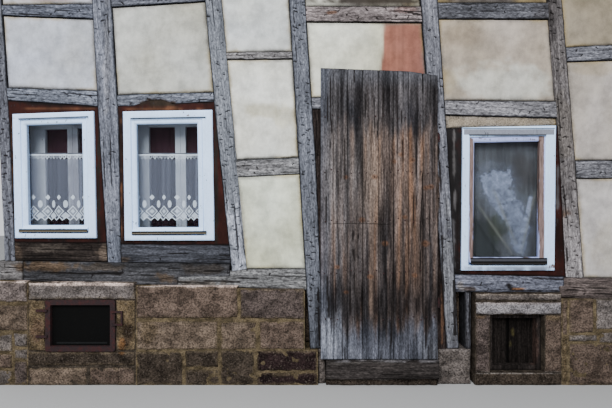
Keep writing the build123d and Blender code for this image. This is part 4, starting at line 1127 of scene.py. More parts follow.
stonework("left_corner_stones", [
    (left_x0, left_x1, 0.60, left_z1, "pink", 0.008),
    (left_x0, left_x1, 0.39, 0.585, "buff", 0.010),
    (left_x0, -2.29, 0.24, 0.375, "grey", 0.014),
    (-2.285, left_x1, 0.275, 0.38, "pale", 0.014),
    (-2.285, left_x1, 0.185, 0.265, "grey", 0.014),
    (left_x0, -2.29, 0.12, 0.23, "brown", 0.014),
    (-2.285, left_x1, 0.0, 0.175, "purple", 0.014),
    (left_x0, -2.29, 0.0, 0.11, "grey", 0.014),
], ("plinth_left",), 51, [(-2.2, left_z1, 0.5, 0.014, LIT_ARRIS, 0.95)])
stonework("middle_plinth_stones", [
    (middle_x0, -0.655, 0.482, middle_z1, "brown", 0.008),
    (-0.645, middle_x1, 0.478, 0.70, "purple", 0.010),
    (middle_x0, -0.80, middle_z0, 0.468, "buff", 0.010),
    (-0.785, -0.52, middle_z0, 0.462, "buff", 0.012),
    (-0.505, middle_x1, middle_z0, 0.466, "brown", 0.012),
], ("plinth_middle",), 52, [
    (-1.3, 0.4, 0.09, 0.12, STONE_TINTS["ochre"], 0.6), (-0.9, middle_z1, 0.6, 0.014, LIT_ARRIS, 0.9),
    (-0.62, 0.48, 0.25, 0.02, STONE_TINTS["ochre"], 0.7)])
stonework("base_course_stones", [
    (base_x0, -1.055, base_z0, 0.245, "umber", 0.014),
    (-1.045, -0.795, 0.125, base_z1, "umber", 0.014),
    (-1.045, -0.795, base_z0, 0.115, "umber", 0.014),
    (-0.785, -0.535, base_z0, base_z1, "umber", 0.014),
    (-0.525, base_x1, 0.10, base_z1, "maroon", 0.014),
    (-0.525, base_x1, base_z0, 0.09, "maroon", 0.014),
], ("base_course",), 53)
stonework("right_plinth_stones", [
    (right_x0, 1.735, 0.0, 0.36, "ochre", 0.016),
    (right_x0, 1.735, 0.36, right_z1, "brown", 0.016),
    (1.74, 1.925, 0.375, right_z1, "brown", 0.010),
    (1.935, right_x1, 0.40, right_z1, "pale", 0.012),
    (1.74, 1.95, 0.315, 0.37, "pale", 0.008),
    (1.96, right_x1, 0.30, 0.39, "grey", 0.012),
    (1.74, 2.08, 0.0, 0.305, "brown", 0.016),
    (2.09, right_x1, 0.0, 0.29, "brown", 0.016),
], ("plinth_right",), 54)

# %% [markdown]
# The hatch and the cellar window have jambs, lintels and sills of dressed stone. They are
# smoother than the rubble beside them, so they are made in the same way with less roughness,
# and their places come from the CAD pieces, so that the openings stay as they are.

# %% Dressed stones round the hatch and the cellar window
jambs = outlines_of("cellar_jambs")
lintels = outlines_of("cellar_lintels")
sills = outlines_of("cellar_sills")
hatch_left, hatch_right, _, hatch_sill_top = sills[0]
lintel_left, lintel_right, lintel_foot, lintel_top = lintels[1]
stonework("hatch_surround_stones", [
    (*lintels[0], "pale", 0.004),
    (*jambs[0], "ochre", 0.007),
    (*jambs[1], "ochre", 0.007),
    (hatch_left, hatch_right, 0.14, hatch_sill_top, "umber", 0.006),
    (hatch_left, -1.75, 0.0, 0.13, "buff", 0.014),
    (-1.74, hatch_right, 0.0, 0.13, "brown", 0.014),
], (), 55, [
    # The dark spot on the right jamb is painted shade in a broken hole.
    (-1.46, 0.36, 0.05, 0.12, rgb(40, 30, 24), 0.8), (-1.5, 0.3, 0.03, 0.08, rgb(124, 86, 50), 0.7),
    (-2.11, 0.4, 0.06, 0.1, rgb(84, 62, 50), 0.6), (-1.8, 0.735, 0.5, 0.014, LIT_ARRIS, 0.95)])
stonework("cellar_window_stones", [
    (lintel_left, lintel_right, 0.612, lintel_top, "grey", 0.008),
    (lintel_left, lintel_right, lintel_foot, 0.606, "light", 0.003),
    (*jambs[2], "purple", 0.005),
    (*jambs[3], "brown", 0.009),
    (*sills[1], "umber", 0.008),
], ("cellar_lintels", "cellar_jambs", "cellar_sills"), 56, [
    # The light lines along the tops of the two lintel stones and of the sill are painted highlights.
    (1.35, 0.665, 0.5, 0.010, rgb(160, 150, 140), 0.8), (1.35, 0.60, 0.5, 0.012, rgb(160, 152, 150), 0.7),
    (1.63, 0.49, 0.09, 0.03, STONE_TINTS["ochre"], 0.7), (1.1, 0.5, 0.05, 0.02, rgb(124, 102, 78), 0.7),
    (1.3, sills[1][3], 0.6, 0.009, rgb(150, 144, 138), 0.9)], 0.15)
PLINTH_NODES = ("plinth_left", "plinth_middle", "base_course", "plinth_right")
mortar_core("plinth_mortar", PLINTH_NODES, rgb(100, 87, 64))
mortar_core("cellar_mortar", ("cellar_lintels", "cellar_jambs", "cellar_sills"), rgb(60, 52, 44))

# %% [markdown]
# The stones beside the doorway are plain blocks in the model too. Their copies are cut into
# small faces and roughened where they are, so the door and its posts still meet them. New
# cubes, as in the plinth, would not follow the edges where the posts stand on them.

# %% Stones at the doorway
def roughened_blocks(node, tint, rough, seed):
    """Dresses the blocks of one CAD piece with a rough street face and a painted highlight along the top."""
    solids = solids_of(node)
    boxes = [box_of(bm) for bm in solids]
    for bm, (low, _) in zip(solids, boxes):
        seam = low.y + SHOWN_DEPTH
        small_faces(bm, RIGHT, UP, STONE_STEP, seam, 4.0)
        shown = [face for face in bm.faces if face.calc_center_median().y < seam]
        sliced(bm, shown, INWARD, INWARD_STEP * COARSE)
    piece, ranges = joined(node + "_stones", solids)
    points = points_of(piece)
    colours = points.copy()
    for k, (rows, (low, high)) in enumerate(zip(ranges, boxes)):
        here = points[rows]
        # Painted highlight: each block paler along its top, where the light falls.
        lit_top_band = ((low.x + high.x) / 2, high.z, 0.2, 0.02, STONE_TINTS["pale"], 0.6)
        colours[rows] = painted(here, STONE_TINTS[tint], [lit_top_band], seed + k)
        points[rows] = rough_block(here, low.x, high.x, low.z, high.z, low.y, 1.0, rough, seed + k)
    write_points(piece, points)
    write_values(piece, scar=np.zeros(len(points)), tint=with_alpha(colours))
    finish_piece(piece, sandstone, (node,), sharp=50.0)


roughened_blocks("post_stones", "grey", 0.006, 61)
roughened_blocks("door_reveals", "buff", 0.006, 62)
roughened_blocks("threshold_stone", "umber", 0.008, 63)

# %% [markdown]
# The window joinery is straight, planed wood under many coats of paint. The copies of its
# pieces are only a little uneven. What makes them look old is the paint: thin blue-white
# over grey, worn through on the arrises, and flaked off in strips on the sash of the right
# window. Bevels would round the arrises evenly. Moving the points by less than a millimetre
# keeps them crisp, and no edge is quite straight any more.

# %% Window joinery
JOINERY_STEP = 0.013
UNEVEN = 0.0007
WHITE = rgb(205, 214, 240)
DULL_WHITE = rgb(168, 176, 190)
RED_BROWN = rgb(58, 20, 14)
GREY_BOARD = rgb(104, 101, 104)
EDGE_LIT = rgb(120, 76, 50)
# Painted shadow: the two colours of the gaps round the frames and under the lintels.
BLACK_GAP_SHADOW = rgb(24, 15, 13)
OLIVE_GAP_SHADOW = rgb(37, 33, 27)
CASEMENT_LIGHT = 0.55 * IN_THE_ROOM


def joinery(node, tint, seed, flaked=(), marks=(), edge_wear=0.25, step=JOINERY_STEP, edge_shade=0.0,
            paint=white_paint):
    """Dresses painted pieces; flaked spots are (x, z, reach x, reach z, amount)."""
    solids = solids_of(node)
    outlines = [side_planes(bm) for bm in solids]
    for bm in solids:
        sliced(bm, sliced(bm, bm.faces[:], RIGHT, step * COARSE), UP, step * 1.6 * COARSE)
    piece, ranges = joined(node + "_painted", solids)
    points = points_of(piece)
    worn = np.zeros(len(points))
    colours = painted(points, tint, marks, seed)
    wander = layered_noise(points, (18.0, 18.0, 7.0), 3, seed)
    # Painted shade: each piece darkens near its sides, where it meets the timbers and frames, and the same
    # strength gives it a mottle.
    for rows, planes in zip(ranges, outlines):
        near = step_down(side_distance(points[rows], planes), 0.002, 0.013)
        colours[rows] *= ((1.0 - edge_shade * near) * (1.0 + 0.5 * edge_shade * wander[rows]))[:, None]
    for x, z, reach_x, reach_z, amount in flaked:
        away = np.maximum(np.abs(points[:, 0] - x) / reach_x, np.abs(points[:, 2] - z) / reach_z)
        worn = np.maximum(worn, amount * step_down(away + 0.2 * wander, 0.8, 1.1))
    worn = np.maximum(worn, edge_wear * step_up(wander, 0.1, 0.9))
    points += np.column_stack([layered_noise(points, 6.0, 2, seed + k) * UNEVEN for k in range(3)])
    write_points(piece, points)
    write_values(piece, flaked=worn, tint=with_alpha(colours))
    finish_piece(piece, paint, (node,))


# The black and olive lines on the linings are painted shadows in the gaps round the frames and under the
# lintels; the lit lines beside them are painted highlights.
joinery("window_linings", RED_BROWN, 71, (), [
    (-2.315, 1.5, 0.035, 0.7, BLACK_GAP_SHADOW, 0.85), (-2.311, 1.5, 0.006, 0.6, EDGE_LIT, 0.9),
    (-2.0, 2.050, 0.4, 0.022, BLACK_GAP_SHADOW, 0.85), (-2.0, 2.010, 0.4, 0.009, EDGE_LIT, 0.7),
    (-1.679, 1.5, 0.011, 0.7, OLIVE_GAP_SHADOW, 0.95), (-1.95, 1.054, 0.42, 0.010, BLACK_GAP_SHADOW, 0.95),
    (-1.2, 2.058, 0.4, 0.022, BLACK_GAP_SHADOW, 0.8), (-1.255, 2.062, 0.14, 0.04, rgb(58, 45, 34), 0.95),
    (-1.2, 2.014, 0.4, 0.009, EDGE_LIT, 0.9), (-1.518, 1.5, 0.035, 0.7, BLACK_GAP_SHADOW, 0.85),
    (-1.516, 1.5, 0.006, 0.6, EDGE_LIT, 0.9), (-0.820, 1.5, 0.013, 0.7, OLIVE_GAP_SHADOW, 0.95),
    (-1.16, 1.038, 0.42, 0.010, BLACK_GAP_SHADOW, 0.95), (1.69, 1.02, 0.04, 0.2, rgb(36, 14, 10), 0.8),
    (1.675, 1.45, 0.016, 0.2, GREY_BOARD, 0.9), (0.90, 1.35, 0.125, 1.4, rgb(30, 28, 29), 0.97),
    (0.918, 1.68, 0.012, 0.22, rgb(120, 116, 116), 0.95),
    (0.926, 1.34, 0.011, 0.11, rgb(128, 125, 126), 0.95),
    (0.906, 0.99, 0.024, 0.22, rgb(106, 104, 108), 0.9), (0.945, 1.0, 0.012, 0.5, BLACK_GAP_SHADOW, 0.8)],
        0.1, 0.009, 0.9, red_paint)
joinery("window_frame_1", WHITE, 72)
joinery("window_frame_2", WHITE, 73, [(-1.02, 1.955, 0.012, 0.004, 0.7), (-0.98, 1.96, 0.006, 0.006, 0.8)])
joinery("window_frame_3", WHITE, 74, [(1.62, 0.86, 0.03, 0.02, 0.55), (0.99, 1.3, 0.004, 0.3, 0.45)], [
    (1.3, 1.82, 0.3, 0.02, DULL_WHITE, 0.7), (1.32, 0.845, 0.36, 0.026, rgb(152, 155, 165), 0.85)], 0.35)
joinery("window_sash_1", WHITE, 75, [(-2.0, 1.135, 0.25, 0.006, 0.5)])
joinery("window_sash_2", WHITE, 76, [(-1.2, 1.12, 0.25, 0.006, 0.5)])
joinery("window_sash_3", rgb(192, 198, 214), 77, [
    (1.040, 1.36, 0.017, 0.5, 0.85), (1.555, 1.36, 0.018, 0.5, 0.95), (1.3, 1.79, 0.24, 0.01, 0.5)], [
    (1.3, 0.908, 0.3, 0.023, rgb(82, 78, 86), 0.97)], 0.5)
joinery("inner_casements", rgb(88, 94, 102, CASEMENT_LIGHT), 78, (), [
    (-1.95, 1.5, 0.07, 0.6, rgb(56, 58, 64, CASEMENT_LIGHT), 0.9)], step=0.02)

# %% [markdown]
# A sash lies in a rebate of its frame, and at its head and foot the shade in the gap is
# painted as a black bar, a painted shadow. At the foot a strip of bare wood, the drip, stands
# in that painted shadow. A near-black board behind the cellar window closes the gap between
# its boards as painted shade, and a grey line at the foot of the black hatch is a painted
# highlight on its lit lower lip. The foot rail of the right sash and the moulding over it are
# thin strips too, with black painted shadow lines beside them. Each is a cube, stretched,
# sheared to the slope of its sash and laid on the wood. Painted lines would blur where the
# faces are wide.

# %% Painted shadows in the gaps at the sashes
STRIP = 0.004


def bar(name, start, end, height, front, tint, depth=STRIP):
    """A thin bar along a line on the wall, from start to end."""
    bm = bmesh.new()
    bmesh.ops.create_cube(bm, size=1.0)
    bmesh.ops.scale(bm, verts=bm.verts, vec=(end[0] - start[0], depth, height))
    slope = (end[1] - start[1]) / (end[0] - start[0])
    for vert in bm.verts:
        vert.co.z += vert.co.x * slope
    middle = ((start[0] + end[0]) / 2, front + depth / 2, (start[1] + end[1]) / 2)
    bmesh.ops.translate(bm, verts=bm.verts, vec=middle)
    sliced(bm, bm.faces[:], RIGHT, 0.02 * COARSE)
    piece, _ = joined(name, [bm])
    points = points_of(piece)
    write_values(piece, flaked=np.zeros(len(points)), tint=with_alpha(painted(points, tint)))
    finish_piece(piece, red_paint)


# Painted shadow: the near-black of the bars in the gaps at the sashes and beside the right window's rail and
# moulding.
SHADOW_LINE = rgb(22, 20, 20)
DRIP = rgb(140, 132, 116)
DARK_DRIP = rgb(50, 47, 45)
SASH_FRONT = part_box("window_sash_1")[0].y - 0.0006
DRIP_FRONT = SASH_FRONT - 0.0008
FRAME_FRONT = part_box("window_frame_3")[0].y - 0.0006
SASH_GAPS = (
    ("left", (-2.250, 1.931), (-1.744, 1.948), (-2.246, 1.120), (-1.750, 1.120), DRIP),
    ("middle", (-1.438, 1.934), (-0.892, 1.944), (-1.428, 1.103), (-0.886, 1.106), DRIP),
    ("right", (1.019, 1.815), (1.579, 1.815), (1.030, 0.886), (1.585, 0.886), DARK_DRIP),
)
for side, head_start, head_end, foot_start, foot_end, drip_tint in SASH_GAPS:
    bar("head_shadow_" + side, head_start, head_end, 0.006, SASH_FRONT, SHADOW_LINE)
    bar("foot_shadow_" + side, foot_start, foot_end, 0.025, SASH_FRONT, SHADOW_LINE)
    drip_start, drip_end = ((x, z - 0.003) for x, z in (foot_start, foot_end))
    bar("drip_" + side, drip_start, drip_end, 0.008, DRIP_FRONT, drip_tint)
bar("foot_rail_right", (1.03, 0.904), (1.585, 0.904), 0.022, SASH_FRONT, rgb(94, 95, 104))
bar("foot_shadow_line_right", (1.03, 0.919), (1.585, 0.919), 0.008, SASH_FRONT - 0.0006, SHADOW_LINE)
bar("head_moulding_right", (0.985, 1.838), (1.64, 1.838), 0.040, FRAME_FRONT, rgb(166, 169, 178))
bar("head_shadow_line_right", (0.978, 1.864), (1.646, 1.864), 0.005, FRAME_FRONT - 0.0006, SHADOW_LINE)

slit_low, slit_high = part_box("cellar_boards")
slit_middle = (slit_low.z + slit_high.z) / 2
slit_height = slit_high.z - slit_low.z - 0.02
# Painted shade: a near-black board behind the gap between the cellar boards.
bar("cellar_shade_board", (1.32, slit_middle), (1.38, slit_middle), slit_height, slit_high.y,
    rgb(10, 9, 9))
panel_low, panel_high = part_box("hatch_panel")
panel_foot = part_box("hatch_frame")[0].z + 0.055
# Painted highlight: a grey line at the foot of the black hatch, where its lower lip catches the light.
bar("hatch_lit_lip", (panel_low.x + 0.05, panel_foot), (panel_high.x - 0.05, panel_foot), 0.012,
    panel_low.y - 0.0008, rgb(27, 29, 30), 0.002)

# %% [markdown]
# A net curtain is a sheet of voile gathered on a rod, so it hangs in soft upright folds. It
# starts as a grid, and the folds push its points in and out. A cloth simulation could fold
# it, but a sum of waves gives the same folds each time, and the length of cloth in them can
# be measured along the waves.

# %% Gathered sheets
SOFT = 180.0


def hanging_grid(name, low, high, columns, rows, inset=0.0):
    """A flat upright sheet in the middle of a box."""
    bm = bmesh.new()
    bmesh.ops.create_grid(bm, x_segments=round(columns / COARSE), y_segments=round(rows / COARSE), size=0.5)
    bmesh.ops.scale(bm, verts=bm.verts, vec=(high.x - low.x - inset, high.z - low.z - inset, 1.0))
    bmesh.ops.rotate(bm, verts=bm.verts, cent=(0, 0, 0), matrix=Matrix.Rotation(math.radians(90), 3, "X"))
    bmesh.ops.translate(bm, verts=bm.verts, vec=(low + high) / 2)
    piece, _ = joined(name, [bm])
    return piece, points_of(piece)


def gathered_sheet(name, low, high, columns, rows, folds, depth, seed):
    """A hanging sheet with upright folds, and its measures along the cloth and up it."""
    piece, points = hanging_grid(name, low, high, columns, rows)

    def fold(spots):
        phase = folds * spots[:, 0] + 0.8 * lattice_noise(spots, (9.0, 1.0, 1.2), seed)
        wave = np.sin(phase * 2 * math.pi) + 0.5 * np.sin(phase * 4.7 * math.pi + 1.0)
        return depth * wave * (0.65 + 0.35 * lattice_noise(spots, (6.0, 1.0, 2.0), seed + 1)) / 1.5

    run = np.linspace(low.x, high.x, 800)
    middle = np.column_stack([run, np.zeros(800), np.full(800, (low.z + high.z) / 2)])
    paces = np.hypot(np.diff(run), np.diff(fold(middle)))
    along = np.interp(points[:, 0], run, np.concatenate([[0.0], np.cumsum(paces)]))
    slope = np.abs(np.interp(points[:, 0], run[1:], np.abs(np.diff(fold(middle)) / np.diff(run))))
    points[:, 1] += fold(points)
    write_points(piece, points)
    write_values(piece, cloth=np.column_stack([along, points[:, 2] - low.z, np.zeros(len(points))]),
                 gather=np.clip(slope, 0.0, 2.0))
    return piece, paces.sum()


# %% [markdown]
# The lace is drawn in the sheet's own measures: a scalloped header, a row of small diamonds,
# ovals, large diamonds and a zigzag hem, denser than the voile round them. Threads as meshes
# would be millions of faces. Here each motif is a distance from its middle, made into a
# step, and the densest motif at each spot sets how much light the cloth lets through.

# %% Lace
LACE_PITCH = 0.094
LACE_TOP = 0.492
SHEER = (0.42, 0.48, 0.64, 1.0)
DENSE = (0.76, 0.87, 0.98, 1.0)


def lace_material(name, offset):
    """Voile with a lace edge, in the sheet's own measures."""
    material, tree, shader = new_material(name, 0.9, 0.1)
    cloth = own(tree, "cloth", "Vector")
    measures = add(tree, "SeparateXYZ", {"Vector": cloth})
    across, up = measures.outputs[0], measures.outputs[1]
    drift = maths(tree, "SINE", times(tree, across, 33.0), 0.0)
    along = plus(tree, across, times(tree, drift, 0.007))

    def place_in(pitch, start):
        turns = plus(tree, maths(tree, "DIVIDE", along, pitch), start)
        return times(tree, unsigned(tree, minus(tree, maths(tree, "FRACT", turns, 0.0), 0.5)), pitch)

    def lozenge(side, height, half_width, half_height):
        upright = maths(tree, "DIVIDE", unsigned(tree, minus(tree, up, height)), half_height)
        return plus(tree, maths(tree, "DIVIDE", side, half_width), upright)

    def squared(value, half):
        return maths(tree, "POWER", maths(tree, "DIVIDE", value, half), 2.0)

    on, off = place_in(LACE_PITCH, offset), place_in(LACE_PITCH, offset + 0.5)
    large = lozenge(on, 0.070, 0.042, 0.046)
    small = lozenge(on, 0.174, 0.018, 0.022)
    between_large = lozenge(off, 0.036, 0.03, 0.03)
    oval = plus(tree, squared(off, 0.015), squared(minus(tree, up, 0.124), 0.029))
    hem = minus(tree, up, times(tree, place_in(LACE_PITCH / 2, offset), 0.95))
    loop = lozenge(place_in(0.028, 0.0), LACE_TOP - 0.017, 0.012, 0.016)
    ring = unsigned(tree, minus(tree, loop, 0.85))
    uneven = between(tree, cloud(tree, across, (24.0, 9.0, 1.0), 2.0), 0.4, 0.6, 0.6, 1.0)
    outline = between(tree, large, 0.72, 0.80, 0.38, 0.95)
    threads = highest(tree, outline, between(tree, large, 0.34, 0.42, 0.8, 0.0))
    dense = highest(
        tree,
        times(tree, between(tree, large, 0.92, 0.97, 1.0, 0.0), threads),
        between(tree, small, 0.9, 1.0, 0.9, 0.0),
        between(tree, between_large, 0.9, 1.0, 0.8, 0.0),
        between(tree, oval, 0.85, 1.0, 0.85, 0.0),
        between(tree, hem, 0.008, 0.012, 0.95, 0.0),
        between(tree, up, LACE_TOP - 0.009, LACE_TOP - 0.006, 0.0, 0.95),
        times(tree, between(tree, ring, 0.3, 0.4, 0.85, 0.0), uneven),
    )
    voile = times(
        tree,
        plus(tree, times(tree, own(tree, "gather"), 0.5), 0.2),
        varied(tree, cloud(tree, cloth, (420.0, 420.0, 1.0), 2.0), 0.8, 1.2),
        between(tree, up, LACE_TOP - 0.036, LACE_TOP - 0.032, 1.0, 0.2),
    )
    alpha = times(tree, highest(tree, voile, dense), between(tree, hem, -0.001, 0.001, 0.0, 1.0))
    tree.links.new(alpha, shader.inputs["Alpha"])
    tree.links.new(blended(tree, dense, SHEER, DENSE), shader.inputs["Base Color"])
    shader.inputs["Sheen Weight"].default_value = 0.1
    return material


for number, finish, offset, columns in ((1, "lace_net_left", 0.1, 150), (2, "lace_net_middle", 0.35, 160)):
    node = "net_curtain_%d" % number
    low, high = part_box(node)
    net, run = gathered_sheet(node + "_gathered", low, high, columns, 120, 8.0, 0.004, 80 + number)
    finish_piece(net, lace_material(finish, offset), (node,), sharp=SOFT)
    print(node, "flat %.2f x %.2f m" % (run, high.z - low.z))


# %% [markdown]
# Behind the nets, in the room, hang dark red curtains of plain weave, gathered closely at
# the inner window leaves. They are made as the nets are. The weave is two noises, one
# stretched along each thread, because a mesh of threads would not show at this distance.

# %% Red curtains
def woven_material(name, colour):
    """Plain woven cloth with a fine thread."""
    material, tree, shader = new_material(name, 0.95, 0.1)
    cloth = own(tree, "cloth", "Vector")
    warp = cloud(tree, cloth, (900.0, 60.0, 1.0), 2.0)
    weft = cloud(tree, cloth, (60.0, 900.0, 1.0), 2.0)
    worn = cloud(tree, cloth, (7.0, 4.0, 1.0), 4.0)
    tone = times(tree, varied(tree, warp, 0.85, 1.15), varied(tree, weft, 0.88, 1.12))
    tone = times(tree, tone, varied(tree, worn, 0.8, 1.15))
    surfaced(tree, shader, shaded(tree, colour(tree), tone), plus(tree, warp, weft), 0.0004)
    shader.inputs["Sheen Weight"].default_value = 0.15
    return material


def red_colour(tree):
    """Dark red, darker on the steep sides of the folds as painted shade, and lighter behind the lace."""
    colour = blended(tree, own(tree, "gather"), rgb(37, 19, 27, IN_THE_ROOM), rgb(27, 14, 19, IN_THE_ROOM))
    height = add(tree, "SeparateXYZ", {"Vector": own_place(tree)}).outputs[2]
    return shaded(tree, colour, between(tree, height, 1.15, 1.35, 1.9, 1.0))


red_cloth = woven_material("dark_red_cloth", red_colour)
for number, (low, high) in enumerate(boxes_of("red_curtains"), 1):
    name = "red_curtain_%d_gathered" % number
    curtain, run = gathered_sheet(name, low, high, 130, 60, 11.0, 0.006, 84 + number)
    finish_piece(curtain, red_cloth, ("red_curtains",), sharp=SOFT)

# %% [markdown]
# Behind the right window hangs an old cloth. It is nailed up at its corners, sags in
# slanting folds between them, and is so dusty that a pale ragged patch stands out of the
# dark green-grey. Each fold is a line across the cloth that pushes the points near it
# towards the street. Gathered waves would be too regular for a rag that hangs from nails.

# %% The hung cloth
cloth_low, cloth_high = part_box("hung_cloth")
FOLDS = (
    ((1.10, 1.33), (1.37, 0.94), 0.016, 0.009),
    ((1.08, 1.24), (1.30, 0.90), 0.012, 0.004),
    ((1.55, 1.44), (1.44, 0.95), 0.020, 0.008),
    ((1.50, 1.55), (1.58, 1.10), 0.014, 0.005),
    ((1.30, 1.80), (1.33, 1.55), 0.006, 0.005),
    ((1.10, 1.75), (1.12, 1.40), 0.012, 0.004),
    ((1.22, 1.45), (1.40, 1.02), 0.022, 0.006),
    ((1.06, 1.10), (1.12, 0.86), 0.010, 0.005),
)
LIT_FOLD = 0.0055
DUSTY = (
    ((1.225, 1.48), (1.29, 1.48), 0.094),
    ((1.26, 1.42), (1.38, 1.24), 0.09),
    ((1.40, 1.24), (1.43, 1.00), 0.058),
    ((1.51, 1.36), (1.47, 1.14), 0.016),
    ((1.47, 1.14), (1.43, 1.00), 0.045),
)


def bell(distance, width):
    """1 on a line, falling softly to 0 beside it."""
    return np.exp(-(distance / width) ** 2)


# %% Folds and dust of the cloth
def behind(red, green, blue):
    """A colour as it looks behind the glass."""
    return rgb(red, green, blue, BEHIND_GLASS)


def folded(points):
    """How far the folds push each point to the street, and how much light they catch."""
    push = 0.0022 * layered_noise(points, (7.0, 1.0, 4.0), 3, 91)
    light = np.zeros(len(points))
    for start, end, width, height in FOLDS:
        away, share = line_distance(points, start, end)
        taper = step_up(share, 0.0, 0.15) * (1.0 - 0.5 * step_up(share, 0.7, 1.0))
        push += height * taper * bell(away, width)
        push -= 0.35 * height * taper * bell(away - 1.9 * width, width)
        light = np.maximum(light, taper * bell(away, 0.55 * width) * (height > LIT_FOLD))
    return push, light


def cloth_colours(points, light):
    """The cloth's dark green-grey, with its dust and the light on its folds."""
    height = points[:, 2]
    colours = painted(points, behind(82, 88, 95), [
        (1.07, 1.35, 0.05, 0.6, behind(50, 56, 62), 0.7), (1.14, 1.0, 0.16, 0.24, behind(40, 48, 50), 0.9),
        (1.27, 1.16, 0.09, 0.13, behind(52, 60, 52), 0.9), (1.46, 1.55, 0.13, 0.16, behind(68, 70, 74), 0.85),
        (1.53, 1.1, 0.05, 0.25, behind(58, 62, 68), 0.6)], 93, 0.2)
    colours *= (1.0 + 0.18 * layered_noise(points, (60.0, 1.0, 5.0), 3, 95))[:, None]
    ragged = layered_noise(points, 20.0, 4, 92)
    dust, halo = np.zeros(len(points)), np.zeros(len(points))
    for start, end, reach in DUSTY:
        away, _ = line_distance(points, start, end)
        dust = np.maximum(dust, step_down(away / reach + 0.3 * ragged, 0.75, 1.1))
        halo = np.maximum(halo, step_down(away / reach + 0.25 * ragged, 0.8, 1.9))
    dust_tone = 1.0 + 0.42 * layered_noise(points, 34.0, 4, 94)
    dust_tone *= 1.0 - 0.32 * step_up(1.5 - height, 0.1, 0.55)
    crinkle = bell(layered_noise(points, 17.0, 3, 96), 0.07)
    dust_tone *= 1.0 - 0.5 * crinkle * (0.4 + 0.6 * (height < 1.42))
    over(colours, np.array(behind(138, 149, 166)[:3]) * dust_tone[:, None], 0.22 * halo + 0.58 * dust)
    colours *= (1.0 - 0.4 * bell(dust - 0.3, 0.2) * (height > 1.45))[:, None]
    over(colours, behind(128, 132, 128), 0.45 * light)
    return np.clip(colours, 0.0, 1.0)


# %% Hanging it up
cloth, cloth_points = hanging_grid("hung_cloth_folds", cloth_low, cloth_high, 150, 220, 0.004)
push, light = folded(cloth_points)
measures = np.column_stack([
    cloth_points[:, 0] - cloth_low.x, cloth_points[:, 2] - cloth_low.z, np.zeros(len(cloth_points))])
write_values(cloth, cloth=measures, tint=with_alpha(cloth_colours(cloth_points, light)))
cloth_points[:, 1] = (cloth_low.y + cloth_high.y) / 2 + 0.004 - np.clip(push, -0.006, 0.009)
write_points(cloth, cloth_points)
finish_piece(cloth, woven_material("dusty_cloth", own_colour), ("hung_cloth",), sharp=SOFT)
cloth_measure = bmesh.new()
cloth_measure.from_mesh(cloth.data)
cloth_area = sum(face.calc_area() for face in cloth_measure.faces)
cloth_measure.free()
print("hung cloth %.3f m2" % cloth_area)

# %% [markdown]
# The door is eight spruce boards side by side. Rain has bleached its foot blue-grey and
# soot-like mould has blackened its head, while the middle, where the ledges are nailed
# behind, is still brown with orange streaks and knots. Height along the board decides the
# colour, and upright noise breaks the borders into streaks. The layers are laid one over
# another as a painter would, from the wood to the soot, the mould and the bleached foot.

# %% Door boards
BOARD = {"waves": 0.0018, "nicks": 0, "checks": 5, "step": 0.008, "wear": 0.0015, "sway": 0.0008}
DOOR_KNOTS = (
    (0.125, 1.507, 0.016), (0.125, 0.679, 0.014), (0.734, 1.438, 0.02), (0.697, 1.029, 0.024),
    (0.522, 1.671, 0.016), (0.33, 1.51, 0.02), (0.47, 1.62, 0.016), (0.405, 1.03, 0.02),
    (0.60, 1.63, 0.018), (0.70, 1.43, 0.018), (0.62, 0.80, 0.016), (0.30, 0.79, 0.018),
    (0.06, 0.86, 0.016), (0.24, 1.20, 0.02), (0.55, 1.22, 0.015),
)
KNOT_RING, KNOT_HEART = rgb(130, 92, 66), rgb(36, 26, 22)
DOOR_PATCHES = (
    (0.03, 1.52, 0.07, 0.34, rgb(128, 124, 124), 0.7), (0.31, 1.52, 0.07, 0.34, rgb(148, 133, 123), 0.75),
    (0.17, 1.52, 0.06, 0.30, rgb(118, 113, 112), 0.65), (0.46, 1.50, 0.07, 0.28, rgb(126, 109, 99), 0.6),
    (0.18, 0.92, 0.06, 0.26, rgb(64, 60, 60), 0.65), (0.59, 0.92, 0.09, 0.26, rgb(64, 52, 46), 0.75),
    (0.17, 1.97, 0.06, 0.12, rgb(34, 35, 40), 0.85), (0.60, 1.97, 0.06, 0.14, rgb(40, 39, 44), 0.85),
    (0.02, 0.32, 0.08, 0.17, rgb(148, 151, 160), 0.9), (0.17, 0.22, 0.08, 0.07, rgb(116, 119, 129), 0.75),
    (0.74, 0.24, 0.08, 0.10, rgb(114, 116, 124), 0.8),
)
SLITS = ((-0.02, 0.46, 1.168), (0.58, 0.64, 1.657))


